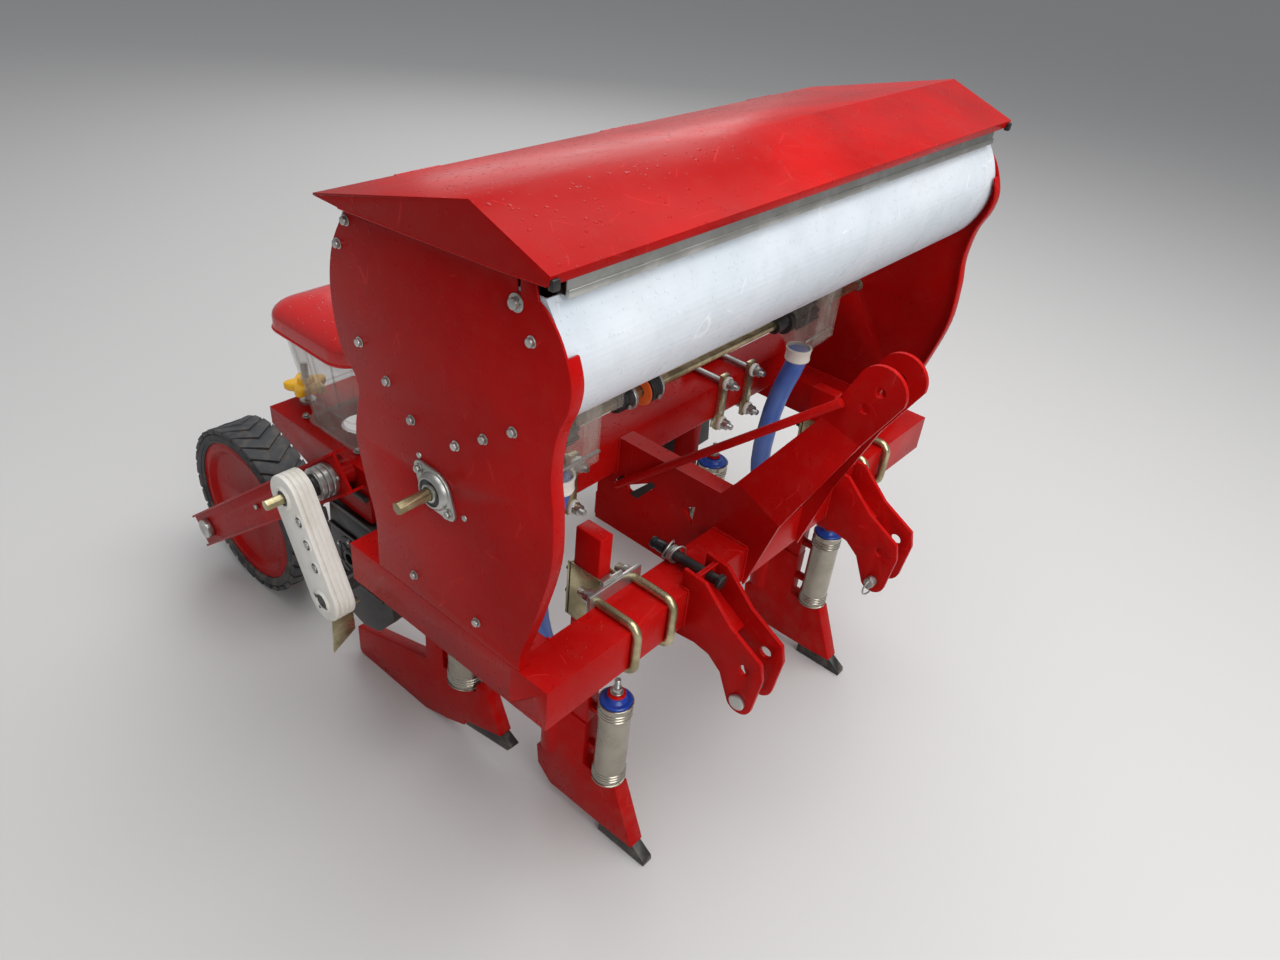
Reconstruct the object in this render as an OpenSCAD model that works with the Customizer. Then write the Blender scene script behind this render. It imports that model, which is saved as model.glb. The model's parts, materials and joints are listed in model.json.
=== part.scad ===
// Two-row mounted seed drill: frame with three-point hitch, fertiliser hopper,
// two fertiliser openers and two seed units with press wheels.
// X is across, Y runs from the front beam to the rear, Z is up from the ground.

/* [Main sizes] */
// Overall length from the top link's ears to the back of the press wheels
machine_l = 1564; // [1500:1:1620]
// Overall width over the tips of the two drive shafts
machine_w = 1324; // [1300:1:1360]

/* [Frame] */
// Width of the frame over the two side arms
frame_w = 1188; // [1150:1:1230]
// Side of the square tube used for beams and arms
beam = 80; // [70:1:90]
// Wall of the square tubes
beam_wall = 6; // [4:1:8]
// Height of the frame's top face above the ground
frame_z = 600; // [570:1:640]
// Length of a side arm behind the front beam
arm_len = 398; // [380:1:430]
// Distance from the front beam's front face to the rear beam's front face
rear_beam_y = 318; // [300:1:330]
// Distance between the ends of the fitted caps and the tube's end faces
cap_t = 4; // [3:1:6]

/* [Hitch] */
// Half distance between the outer faces of the two mast plates at the frame
mast_x = 94; // [84:1:104]
// Half distance between the outer faces of the top link's ears
top_ear_x = 37; // [33:1:42]
// Thickness of the mast plates
mast_t = 8; // [6:1:10]
// Width of the mast plate's folded top flange
mast_flange = 38; // [28:1:46]
// Height of the mast plate's flange above the frame's top face
mast_rise = 80; // [80:1:90]
// Depth of the mast plate below the frame's top face
mast_drop = 138; // [125:1:150]
// Height of the top link's hole above the frame's top face
top_hole_z = 360; // [340:1:380]
// Reach of the top link's hole in front of the front beam
top_hole_reach = 145; // [130:1:160]
// Radius of the top link's holes
top_hole_r = 9.6; // [9.5:0.1:13]
// Radius of the ear's round end
top_ear_r = 44; // [36:1:50]
// Diameter of the diagonal brace
brace_d = 16; // [12:1:22]
// Half distance between the middles of the two lower-link brackets
link_x = 229; // [215:1:245]
// Width of a lower-link bracket over its two ears
link_w = 70; // [64:1:80]
// Thickness of a lower-link ear
link_t = 8; // [6:1:10]
// Radius of the lower link's holes
link_hole_r = 11.2; // [11:0.1:14]
// Reach of the lower link's holes in front of the front beam
link_reach = 132; // [124:1:140]
// Drop of the free hole below the frame's top face
link_drop = 92; // [88:1:100]
// Distance between the free hole and the pinned hole below it
link_pitch = 72; // [64:1:76]

/* [Hopper] */
// Thickness of the two end plates
plate_t = 4; // [3:1:6]
// Height of the end plates above the frame
plate_h = 601; // [590:1:612]
// Width of the folded front edge of an end plate
plate_lip = 22; // [14:1:28]
// Wall of the hopper's trough
trough_t = 3; // [2:1:5]
// Thickness of the lid's sheet
lid_t = 3; // [2:1:4]
// Overhang of the lid past each end plate
lid_over = 15; // [11:1:20]
// Largest opening angle of the lid
lid_open = 100; // [80:1:110]

/* [Metering] */
// Half distance between the two fertiliser rows
fert_x = 358; // [345:1:372]
// Distance of the metering shaft behind the front beam's front face
shaft_y = 237; // [232:1:244]
// Height of the metering shaft above the frame's top face
shaft_z = 239; // [234:1:244]
// Diameter of the metering shaft's round journals
shaft_d = 20; // [16:1:22]
// Length of the shaft's stub outside each end plate
shaft_stub = 70; // [50:1:80]
// Width of a metering housing
meter_w = 76; // [64:1:84]
// Wall of the metering housings
meter_wall = 3; // [2:1:4]
// Outer diameter of the fertiliser hose
hose_d = 44; // [38:1:50]

/* [Fertiliser opener] */
// Thickness of the opener's shank across the machine
shank_w = 30; // [24:1:36]
// Depth of the shank along the machine
shank_d = 56; // [48:1:64]
// Distance of the shank's front face behind the front beam's front face
shank_y = 108; // [104:1:116]
// Height of the shank's top above the frame's top face
shank_rise = 100; // [80:1:130]
// Thickness of the boot's body
boot_w = 34; // [28:1:40]
// Outer diameter of the steel canister in front of the shank
canister_d = 66; // [56:1:70]
// Length of the steel canister
canister_len = 205; // [180:1:220]
// Distance of the canister's middle behind the front beam's front face
canister_y = 56; // [52:1:64]
// Diameter of the U-bolts
ubolt_d = 16; // [12:1:18]
// Distance between the two U-bolts of a clamp
ubolt_pitch = 90; // [80:1:110]

/* [Seed unit] */
// Width of a unit's sheet-metal pan
pan_w = 194; // [180:1:200]
// Height of the pan's top above the frame's top face
pan_z = 52; // [44:1:60]
// Sheet thickness of the pan
pan_t = 4; // [3:1:6]
// Front edge of the pan behind the front beam's front face
pan_y0 = 560; // [550:1:570]
// Rear edge of the pan behind the front beam's front face
pan_y1 = 875; // [860:1:890]
// Width of the seed box under its lid
box_w = 190; // [170:1:200]
// Length of the seed box under its lid
box_l = 214; // [200:1:222]
// Height of the seed box
box_h = 213; // [200:1:222]
// Wall of the seed box
box_wall = 3; // [2:1:5]
// Middle of the seed box behind the front beam's front face
box_y = 710; // [704:1:716]
// Width of the seed box's lid
seed_lid_w = 220; // [210:1:228]
// Length of the seed box's lid
seed_lid_l = 240; // [232:1:246]
// Height of the seed box's lid
seed_lid_h = 63; // [50:1:70]
// Largest opening angle of a seed box's lid
seed_lid_open = 95; // [80:1:110]

/* [Press wheel] */
// Radius of the press wheel over its tread
wheel_r = 210; // [200:1:220]
// Width of the tyre
wheel_w = 106; // [96:1:116]
// Radius of the wheel's steel disc
rim_r = 176; // [160:1:184]
// Diameter of the axle
axle_d = 20; // [16:1:24]
// Depth of the wheel arm's channel section
arm_h = 80; // [70:1:86]
// Width of the wheel arm's flanges
arm_flange = 28; // [20:1:32]
// Sheet thickness of the wheel arm
arm_t = 5; // [4:1:6]
// Half distance between the outer faces of a unit's two wheel arms
arm_x = 136; // [130:1:140]
// Number of tread bars around the tyre
tread_n = 32; // [24:1:40]
// Height of the tread bars
tread_h = 6; // [4:1:12]

/* [Hidden] */

// Colours
paint_red = [0.72, 0.10, 0.09];
pale_grey = [0.82, 0.85, 0.87];
zinc = [0.70, 0.71, 0.70];
gold_zinc = [0.72, 0.66, 0.36];
smoky = [0.60, 0.58, 0.52, 0.5];
black_plastic = [0.12, 0.12, 0.12];
rubber_black = [0.18, 0.19, 0.20];
hose_blue = [0.30, 0.44, 0.78];
yellow = [0.95, 0.72, 0.10];
cream = [0.88, 0.87, 0.82];

// Clearances
seat = 0.3;
run = 0.05;
swing = 8;
eps = 0.01;
fine = 64;

// Extents, from which the origin is worked out
half_w = frame_w / 2;
front_reach = top_hole_reach + top_ear_r;
rear_reach = machine_l - front_reach;
mid_y = (rear_reach - front_reach) / 2;
axle_y = rear_reach - wheel_r;
shaft_tip = 129;
seed_x = machine_w / 2 - arm_x - shaft_tip;

// Heights measured from the ground
beam_z0 = frame_z - beam;
rear_z0 = frame_z;
rear_z1 = frame_z + beam;
rear_beam_y1 = rear_beam_y + beam;

// The wheel arm's two axes in the side view
pivot = [620, frame_z + 33];
axle = [axle_y, wheel_r];
arm_vec = axle - pivot;
arm_len_pp = norm(arm_vec);
arm_angle = atan2(arm_vec[1], arm_vec[0]);
arm_over_front = 48;
arm_over_rear = 60;
arm_rim = 6;
axle_head = 44;

// Points of a circle's arc, both ends included
function arc(c, r, a0, a1, n) = [
    for (i = [0 : n])
        let (a = a0 + (a1 - a0) * i / n)
        [c[0] + r * cos(a), c[1] + r * sin(a)]
];

// One stretch of a smooth curve through p1 and p2, with p0 and p3 as neighbours
function bend(p0, p1, p2, p3, t) =
    0.5 * (2 * p1 + (p2 - p0) * t + (2 * p0 - 5 * p1 + 4 * p2 - p3) * t * t
        + (3 * p1 - p0 - 3 * p2 + p3) * t * t * t);

// A smooth open curve through a short list of points
function flow(p, n = 5) = concat(
    [for (i = [0 : len(p) - 2])
        for (k = [0 : n - 1])
            bend(p[max(i - 1, 0)], p[i], p[i + 1], p[min(i + 2, len(p) - 1)], k / n)],
    [p[len(p) - 1]]
);

// Everything is placed by this: the origin lies under the middle of the machine
module placed() {
    translate([0, -mid_y, 0])
        children();
}

// The machine's right side is at -X and its left side at +X
module on_side(side) {
    if (side == "left") children();
    else mirror([1, 0, 0]) children();
}

// A side-view outline, (y, z) pairs, made into a plate from x0 to x0 + t
module side_plate(points, x0, t) {
    translate([x0, 0, 0])
        rotate([90, 0, 90])
            linear_extrude(t)
                polygon(points);
}

// A round bar along X
module bar_x(y, z, d, x0, x1, sides = fine) {
    translate([x0, y, z])
        rotate([0, 90, 0])
            cylinder(h = x1 - x0, d = d, $fn = sides);
}

// A square tube along one axis with a closing cap at each end
module tube_x(x0, x1, y0, z0) {
    difference() {
        translate([x0, y0, z0])
            cube([x1 - x0, beam, beam]);
        translate([x0 + cap_t, y0 + beam_wall, z0 + beam_wall])
            cube([x1 - x0 - 2 * cap_t, beam - 2 * beam_wall, beam - 2 * beam_wall]);
    }
}

module front_beam() {
    color(paint_red)
        placed()
            tube_x(-half_w, half_w, 0, beam_z0);
}

module side_arm(side) {
    color(paint_red)
        placed()
            on_side(side)
                difference() {
                    translate([half_w - beam, beam, beam_z0])
                        cube([beam, arm_len, beam]);
                    translate([half_w - beam + beam_wall, beam + cap_t, beam_z0 + beam_wall])
                        cube([beam - 2 * beam_wall, arm_len - 2 * cap_t, beam - 2 * beam_wall]);
                }
}

module rear_beam() {
    color(paint_red)
        placed()
            tube_x(-half_w + plate_t, half_w - plate_t, rear_beam_y, rear_z0);
}

// Mast: each side is one bent plate that runs from the rear beam over the front
// beam, leans in above it and ends as one of the top link's two ears
rail_foot = 47;
mast_d = [45, frame_z + 119];
mast_c = [-52, frame_z + 76];
mast_a = [-57, frame_z + 276];
mast_b = [-134, frame_z + 256];
mast_toe = [-4, beam_z0 - 6];
top_hole = [-top_hole_reach, frame_z + top_hole_z];
top_hole_2 = [top_hole[0] + 19, top_hole[1] - 37];
weep_hole = [[150, 6], [124, 22], [128, -22]];
slot_ends = [[[316, -24], [280, 8], 14], [[280, -19], [236, 7], 16]];

function mast_outline() = [
    [rear_beam_y, rear_z1 + mast_rise - beam],
    [74, frame_z + mast_rise],
    mast_d,
    mast_c,
    mast_toe,
    [0, beam_z0],
    [0, frame_z],
    [beam, frame_z],
    [beam, beam_z0],
    [beam, beam_z0 - 40],
    [beam + 60, frame_z - mast_drop],
    [rear_beam_y + rail_foot, frame_z - mast_drop + 4],
    [rear_beam_y + rail_foot, frame_z],
    [rear_beam_y, frame_z]
];

// The left plate ends behind the front beam and has no rail to the rear beam
function mast_short() = [
    [beam, frame_z + 40],
    [74, frame_z + mast_rise],
    mast_d,
    mast_c,
    mast_toe,
    [0, beam_z0],
    [0, frame_z],
    [beam, frame_z]
];

// A slot from a to b with round ends
function slot_outline(a, b, w) =
    let (turn = atan2(b[1] - a[1], b[0] - a[0]))
    concat(arc(a, w / 2, turn + 90, turn + 270, 8), arc(b, w / 2, turn - 90, turn + 90, 8));

// The leaning strip between the upright plate and the ear
module mast_lean() {
    slim = 0.5;
    hull() {
        side_plate([mast_d, mast_c, mast_c - [0, slim], mast_d - [0, slim]], mast_x - mast_t, mast_t);
        side_plate([mast_a, mast_b, mast_b + [0, slim], mast_a + [0, slim]], top_ear_x - mast_t, mast_t);
    }
}

module mast_plate(side) {
    color(paint_red)
        placed()
            on_side(side)
                difference() {
                    union() {
                        side_plate(side == "right" ? mast_outline() : mast_short(), mast_x - mast_t,
                            mast_t);
                        if (side == "right")
                            translate([mast_x - mast_flange, 74, frame_z + mast_rise - mast_t])
                                cube([mast_flange, rear_beam_y - 74, mast_t]);
                        mast_lean();
                        side_plate(
                            concat([mast_a, mast_b],
                                arc(top_hole, top_ear_r, 190, 15, 16)),
                            top_ear_x - mast_t, mast_t);
                    }
                    for (hole = [top_hole, top_hole_2])
                        bar_x(hole[0], hole[1], 2 * top_hole_r, top_ear_x - 2 * mast_t,
                            top_ear_x + mast_t);
                    if (side == "right") {
                        side_plate(lifted(weep_hole), mast_x - 2 * mast_t, 3 * mast_t);
                        for (s = slot_ends)
                            side_plate(lifted(slot_outline(s[0], s[1], s[2])), mast_x - 2 * mast_t,
                                3 * mast_t);
                    }
                }
}

// A round brace from the right ear's outer face down to a bolt in the right mast plate's slot
brace_top = [top_ear_x + brace_d / 2 + seat, -90, frame_z + 322];
brace_foot = [mast_x + 29, 292, frame_z - 3];
brace_bolt = 12;
brace_washer = 24;
washer_t = 3;

// A round bar between any two points
module bar_between(a, b, d) {
    v = b - a;
    translate(a)
        rotate([0, acos(v[2] / norm(v)), atan2(v[1], v[0])])
            cylinder(h = norm(v), d = d, $fn = 32);
}

module mast_brace() {
    color(paint_red)
        placed()
            mirror([1, 0, 0])
                union() {
                    bar_between(brace_top, brace_foot, brace_d);
                    bar_x(brace_foot[1], brace_foot[2], brace_bolt, mast_x - mast_t - 14, brace_foot[0]);
                    bar_x(brace_foot[1], brace_foot[2], brace_washer, mast_x + seat,
                        mast_x + seat + washer_t);
                    bar_x(brace_foot[1], brace_foot[2], brace_washer - 4, mast_x - mast_t - seat - 8,
                        mast_x - mast_t - seat, 6);
                }
}

// Lower-link brackets: two ears each, joined by a cross plate
ear_top = frame_z + 38;
function ear_outline() = concat(
    [[16, ear_top], [-30, frame_z + 34], [-90, frame_z - 22], [-160, frame_z - 60]],
    [[-link_reach - 36, frame_z - link_drop]],
    arc([-link_reach, frame_z - link_drop - link_pitch], 27, 190, 320, 10),
    [[-86, frame_z - 128], [-58, frame_z - 106], [-26, frame_z - 101], [14, frame_z - 106]],
    [[14, beam_z0], [0, beam_z0], [0, frame_z], [16, frame_z]]
);

// The two ears are plates of their own; a cross plate and a stay stand between them
link_cross = [[-8, frame_z + 30], [-seat, frame_z + 30], [-seat, frame_z - 60], [-8, frame_z - 60]];
link_stay = [[-8 - seat, frame_z - 14], [-8 - seat, frame_z - 24], [-78, frame_z - 70], [-84,
    frame_z - 62]];
module link_ears(side) {
    ear_x0 = link_x - link_w / 2;
    between = link_w - 2 * link_t - 2 * seat;
    color(paint_red)
        placed()
            on_side(side)
                difference() {
                    union() {
                        for (x0 = [ear_x0, ear_x0 + link_w - link_t])
                            side_plate(ear_outline(), x0, link_t);
                        for (web = [link_cross, link_stay])
                            side_plate(web, ear_x0 + link_t + seat, between);
                    }
                    for (drop = [link_drop, link_drop + link_pitch])
                        bar_x(-link_reach, frame_z - drop, 2 * link_hole_r, ear_x0 - 10,
                            ear_x0 + link_w + 10);
                    bar_round_y(spare_x, frame_z + spare_z, spare_d + 2 * seat, -20, 10);
                }
}

// A round bar along Y
module bar_round_y(x, z, d, y0, y1, sides = 32) {
    translate([x, y0, z])
        rotate([-90, 0, 0])
            cylinder(h = y1 - y0, d = d, $fn = sides);
}

// The two lower pins that stay in the brackets, each with a head and a clip
pin_head_t = 5;
module link_pins() {
    pin_d = 2 * link_hole_r - 2 * seat;
    outer = link_x + link_w / 2;
    inner = link_x - link_w / 2;
    color(zinc)
        placed()
            for (side = ["right", "left"])
                on_side(side) {
                    bar_x(-link_reach, frame_z - link_drop - link_pitch, pin_d, inner - 14,
                        outer + pin_head_t);
                    bar_x(-link_reach, frame_z - link_drop - link_pitch, 28, outer + seat,
                        outer + seat + pin_head_t);
                }
}

// A spare pin with a ring clip, stowed through the right bracket's cross plate
spare_d = 19;
spare_x = link_x - 5;
spare_z = 17;
spare_y1 = 110;
module spare_pin() {
    color(black_plastic)
        placed()
            mirror([1, 0, 0]) {
                bar_round_y(spare_x, frame_z + spare_z, spare_d, -30, spare_y1);
                bar_round_y(spare_x, frame_z + spare_z, spare_d + 9, -38, -30, 6);
                bar_round_y(spare_x, frame_z + spare_z, spare_d + 11, 66, 78);
            }
}

// Hopper end plates: wavy front and rear edges, from the frame up to the lid
end_rear = [[398, 0], [396, 95], [414, 164], [429, 249], [412, 335], [449, 386], [461, 468], [446, 540],
    [408, plate_h]];
end_front = [[42, plate_h], [26, plate_h - 10], [3, 563], [-15, 519], [-12, 480], [5, 435], [11, 374],
    [4, 316],
    [4, 233], [30, 126], [58, 36], [60, 0]];
lip_top = 548;
end_top = [[396, plate_h + 4], [100, plate_h + 26], [50, plate_h + 30]];
slot_at = [72, plate_h];
slot_size = [6, 19];

function lifted(p) = [for (q = p) [q[0], frame_z + q[1]]];
function end_outline() = lifted(concat(flow(end_rear), end_top, flow(end_front)));
function end_lip_outline() = let (f = [for (q = lifted(flow(end_front))) if (q[1] < frame_z + lip_top) q]) concat(
    f,
    [for (i = [len(f) - 1 : -1 : 0]) f[i] + [plate_t, 0]]
);

module hopper_end(side) {
    color(paint_red)
        placed()
            on_side(side)
                difference() {
                    union() {
                        side_plate(end_outline(), half_w - plate_t, plate_t);
                        side_plate(end_lip_outline(), half_w - plate_lip, plate_lip);
                    }
                    bar_x(shaft_y, frame_z + shaft_z, shaft_d + 10, half_w - 40, half_w + 10);
                    translate([half_w - 2 * plate_t, slot_at[0], frame_z + slot_at[1]])
                        cube([3 * plate_t, slot_size[0], slot_size[1]]);
                }
}

// Trough: a bulging front wall, a narrow foot over the meters and a rear wall
trough_top = plate_h + 5;
foot_y0 = 186;
foot_y1 = 292;
foot_z = 330;
trough_front = [[34, trough_top], [12, trough_top - 34], [0, 530], [6, 482], [34, 432], [84, 392],
    [140, 360],
    [foot_y0, foot_z]];
trough_rear = [[foot_y1, foot_z], [344, 364], [400, 402], [436, 452], [446, 510], [434, trough_top - 44],
    [412, trough_top]];

module hopper_trough() {
    outer = concat(lifted(flow(trough_front)), lifted(flow(trough_rear)));
    half = half_w - plate_t;
    color(pale_grey)
        placed()
            difference() {
                side_plate(outer, -half, 2 * half);
                side_plate(inset_outline(), -half + trough_t, 2 * half - 2 * trough_t);
                for (s = [-1, 1])
                    translate([s * fert_x - 20, foot_y0 + 24, frame_z + foot_z - 10])
                        cube([40, foot_y1 - foot_y0 - 48, 30]);
            }
}

// The same walls moved inwards by the wall, open at the top
function moved(p, d) = [for (q = p) q + d];
function inset_outline() = concat(
    [[34 + trough_t, frame_z + trough_top + 10]],
    moved(lifted(flow(trough_front)), [trough_t + 1, trough_t]),
    moved(lifted(flow(trough_rear)), [-trough_t - 1, trough_t]),
    [[412 - trough_t, frame_z + trough_top + 10]]
);

// Lid: two roof sheets, gable ends and small lips, hinged at its rear edge
lid_z = frame_z + plate_h;
lid_hinge = [462, lid_z + 3];
lid_rear = [455, lid_z + 11];
lid_ridge = [142, lid_z + 92];
lid_front = [10, lid_z + 45];
lid_lip = [13, lid_z + 32];
knuckle_d = 12;
knuckle_w = 26;
hinge_pin_d = 6;
hinge_x = [-430, 0, 430];

module hopper_lid() {
    x1 = half_w + lid_over;
    roof = [lid_rear, lid_ridge, lid_front, lid_lip, lid_lip + [lid_t, 0],
        lid_front + [lid_t + 2, -lid_t], lid_ridge + [0, -lid_t], lid_rear + [0, -lid_t]];
    gable = [lid_rear + [-2, -lid_t], lid_ridge + [0, -lid_t], lid_front + [lid_t, -lid_t],
        lid_lip + [lid_t, 1], [92, lid_z + 25], [400, lid_z + 7]];
    web = [lid_rear, lid_hinge + [-1, knuckle_d / 2], lid_hinge + [-knuckle_d / 2, 0],
        lid_rear + [-8, -lid_t + 1], lid_rear + [-8, 1]];
    color(paint_red)
        placed()
            difference() {
                union() {
                    side_plate(roof, -x1, 2 * x1);
                    for (s = [-1, 1])
                        side_plate(gable, s * (x1 - lid_t / 2) - lid_t / 2, lid_t);
                    for (x = hinge_x) {
                        bar_x(lid_hinge[0], lid_hinge[1], knuckle_d, x - knuckle_w / 2,
                            x + knuckle_w / 2);
                        side_plate(web, x - knuckle_w / 2, knuckle_w);
                    }
                }
                for (x = hinge_x)
                    bar_x(lid_hinge[0], lid_hinge[1], hinge_pin_d + 2 * run, x - knuckle_w,
                        x + knuckle_w);
            }
}

// Fixed halves of the lid's three hinges, each with its pin, on the trough's rear edge
module lid_hinges() {
    wall = [for (q = lifted(flow(trough_rear))) if (q[1] > lid_z - 42 && q[1] < lid_z + 1) q];
    leaf = concat(
        moved(wall, [seat + 0.1, 0]),
        [[wall[len(wall) - 1][0] + seat + 0.1, lid_z + 4], [lid_hinge[0], lid_z + 4], [lid_hinge[0],
            lid_z + 1]],
        [for (i = [len(wall) - 1 : -1 : 0]) wall[i] + [lid_t + 0.5, 0]]);
    color(paint_red)
        placed()
            for (x = hinge_x)
                difference() {
                    union() {
                        for (x0 = [x - 1.5 * knuckle_w - 1, x + knuckle_w / 2 + 1])
                            bar_x(lid_hinge[0], lid_hinge[1], knuckle_d, x0, x0 + knuckle_w);
                        bar_x(lid_hinge[0], lid_hinge[1], hinge_pin_d, x - knuckle_w, x + knuckle_w);
                        side_plate(leaf, x - 1.5 * knuckle_w - 1, 3 * knuckle_w + 2);
                    }
                    difference() {
                        bar_x(lid_hinge[0], lid_hinge[1], 2 * knuckle_d, x - knuckle_w / 2 - 1,
                            x + knuckle_w / 2 + 1);
                        bar_x(lid_hinge[0], lid_hinge[1], hinge_pin_d, x - knuckle_w, x + knuckle_w);
                    }
                }
}

// Angle bar on the trough's front edge, on which the lid's front rests
module lid_bar() {
    half = half_w - plate_lip - 2;
    foot = trough_top + seat;
    post = lid_z + 44 - seat;
    color(zinc)
        placed()
            side_plate(
                lifted([[18, foot], [18, foot + 10], [21, foot + 10], [21, post - frame_z], [24,
                    post - frame_z],
                    [24, foot + 3], [46, foot + 3], [46, foot]]),
                -half, 2 * half);
}

// Metering housings under the hopper, each with a spout for its hose
meter_y0 = 172;
meter_y1 = 300;
meter_floor = 200;
spigot = [222, 138];
spigot_h = 26;

module meter_case(side) {
    x0 = fert_x - meter_w / 2;
    color(smoky)
        placed()
            on_side(side)
                difference() {
                    union() {
                        translate([x0, meter_y0, frame_z + meter_floor])
                            cube([meter_w, meter_y1 - meter_y0, foot_z - meter_floor - seat]);
                        hull() {
                            translate([x0, meter_y0, frame_z + meter_floor])
                                cube([meter_w, 90, 1]);
                            translate([fert_x, spigot[0], frame_z + spigot[1] + spigot_h])
                                cylinder(h = 1, d = hose_d + 4, $fn = 32);
                        }
                        translate([fert_x, spigot[0], frame_z + spigot[1]])
                            cylinder(h = spigot_h + 1, d = hose_d + 4, $fn = 32);
                    }
                    translate([x0 + meter_wall, meter_y0 + meter_wall, frame_z + meter_floor])
                        cube([meter_w - 2 * meter_wall, meter_y1 - meter_y0 - 2 * meter_wall, 200]);
                    hull() {
                        translate([x0 + meter_wall, meter_y0 + meter_wall, frame_z + meter_floor])
                            cube([meter_w - 2 * meter_wall, 90 - 2 * meter_wall, 1]);
                        translate([fert_x, spigot[0], frame_z + spigot[1] + spigot_h])
                            cylinder(h = 1, d = hose_d - 4, $fn = 32);
                    }
                    translate([fert_x, spigot[0], frame_z + spigot[1] - 1])
                        cylinder(h = spigot_h + 4, d = hose_d + seat, $fn = 32);
                    bar_x(shaft_y, frame_z + shaft_z, shaft_d + 2 * 5, x0 - 5, x0 + meter_w + 5);
                }
}

// Fluted rollers on the metering shaft, one in each housing
roller_d = 60;
flutes = 10;
module meter_rollers() {
    half = meter_w / 2 - meter_wall - 6;
    color(black_plastic)
        placed()
            for (s = [-1, 1])
                difference() {
                    bar_x(shaft_y, frame_z + shaft_z, roller_d, s * fert_x - half, s * fert_x + half);
                    for (i = [0 : flutes - 1])
                        let (a = 360 * i / flutes)
                        bar_x(shaft_y + roller_d / 2 * cos(a), frame_z + shaft_z + roller_d / 2 * sin(a),
                            12, s * fert_x - half - 1, s * fert_x + half + 1, 24);
                    bar_x(shaft_y, frame_z + shaft_z, shaft_d, s * fert_x - half - 1,
                        s * fert_x + half + 1, 6);
                }
}

// The metering shaft: hexagonal between the end plates, round in its bearings
bearing_t = 14;
module meter_shaft() {
    color(gold_zinc)
        placed() {
            bar_x(shaft_y, frame_z + shaft_z, shaft_d, -half_w + plate_t + 20, half_w - plate_t - 20, 6);
            for (side = ["right", "left"])
                on_side(side) {
                    bar_x(shaft_y, frame_z + shaft_z, shaft_d - 2, half_w - plate_t - 21,
                        half_w + bearing_t + 2);
                    bar_x(shaft_y, frame_z + shaft_z, shaft_d, half_w + bearing_t + 1,
                        half_w + shaft_stub, 6);
                }
        }
}

// Black bushes around the metering shaft with their rings, as rows of where a round
// stretch starts, where it ends and its diameter; the third one is a bright ring
bush_rows = [
    [-219, -184, 36], [-184, -179, 46],
    [-147, -142, 42], [-142, -116, 52],
    [258, 290, 36], [290, 302, 54]
];
module rate_bushes() {
    color(black_plastic)
        placed()
            difference() {
                for (row = bush_rows)
                    bar_x(shaft_y, frame_z + shaft_z, row[2], row[0], row[1]);
                bar_x(shaft_y, frame_z + shaft_z, shaft_d + 2 * run, bush_rows[0][0] - 1,
                    bush_rows[5][1] + 1);
            }
}

// Flanged bearings bolted to the outside of the end plates
module shaft_bearings() {
    color(zinc)
        placed()
            for (side = ["right", "left"])
                on_side(side)
                    difference() {
                        union() {
                            for (corner = [-1, 1])
                                hull() {
                                    bar_x(shaft_y, frame_z + shaft_z, 54, half_w, half_w + 5, 32);
                                    bar_x(shaft_y + corner * 36, frame_z + shaft_z + corner * 26, 22,
                                        half_w, half_w + 5, 32);
                                }
                            bar_x(shaft_y, frame_z + shaft_z, 46, half_w, half_w + bearing_t);
                        }
                        bar_x(shaft_y, frame_z + shaft_z, shaft_d - 2 + 2 * run, half_w - 1,
                            half_w + bearing_t + 1);
                    }
}

// Hose: a tube swept along a route; the route is for the left row, mirrored for the right
hose_route = [
    [358, 222, 160], [358, 222, 135], [358, 229, 105], [358, 240, 70], [358, 250, 30],
    [358, 257, -10], [358, 262, -60], [358, 265, -105], [358, 264, -145], [358, 258, -182],
    [358, 247, -215], [358, 232, -246], [358, 216, -274], [358, 204, -299], [358, 200, -322],
    [358, 200, -345], [358, 200, -395]
];
hose_sides = 12;

function unit(v) = v / norm(v);
function route_dir(p, i) = unit(p[min(i + 1, len(p) - 1)] - p[max(i - 1, 0)]);
function ring(p, i, r, n) =
    let (d = route_dir(p, i), u = unit(cross(d, [1, 0, 0])), v = cross(d, u))
    [for (k = [0 : n - 1]) p[i] + r * (cos(360 * k / n) * u + sin(360 * k / n) * v)];

module swept(p, r, n) {
    rings = [for (i = [0 : len(p) - 1]) each ring(p, i, r, n)];
    last = (len(p) - 1) * n;
    sides = [for (i = [0 : len(p) - 2]) for (k = [0 : n - 1])
        [i * n + k, i * n + (k + 1) % n, (i + 1) * n + (k + 1) % n, (i + 1) * n + k]];
    polyhedron(
        points = rings,
        faces = concat([[for (k = [n - 1 : -1 : 0]) k]], sides, [[for (k = [0 : n - 1]) last + k]])
    );
}

module hose(side) {
    color(hose_blue)
        placed()
            on_side(side)
                translate([0, 0, frame_z])
                    swept(hose_route, hose_d / 2 - seat, hose_sides);
}

// Fertiliser opener: shank, boot with a hose socket behind, point and steel canister
boot_top = -330;
module fert_shank(side) {
    color(paint_red)
        placed()
            on_side(side)
                translate([fert_x - shank_w / 2, shank_y, frame_z + boot_top])
                    cube([shank_w, shank_d, shank_rise - boot_top]);
}

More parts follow.
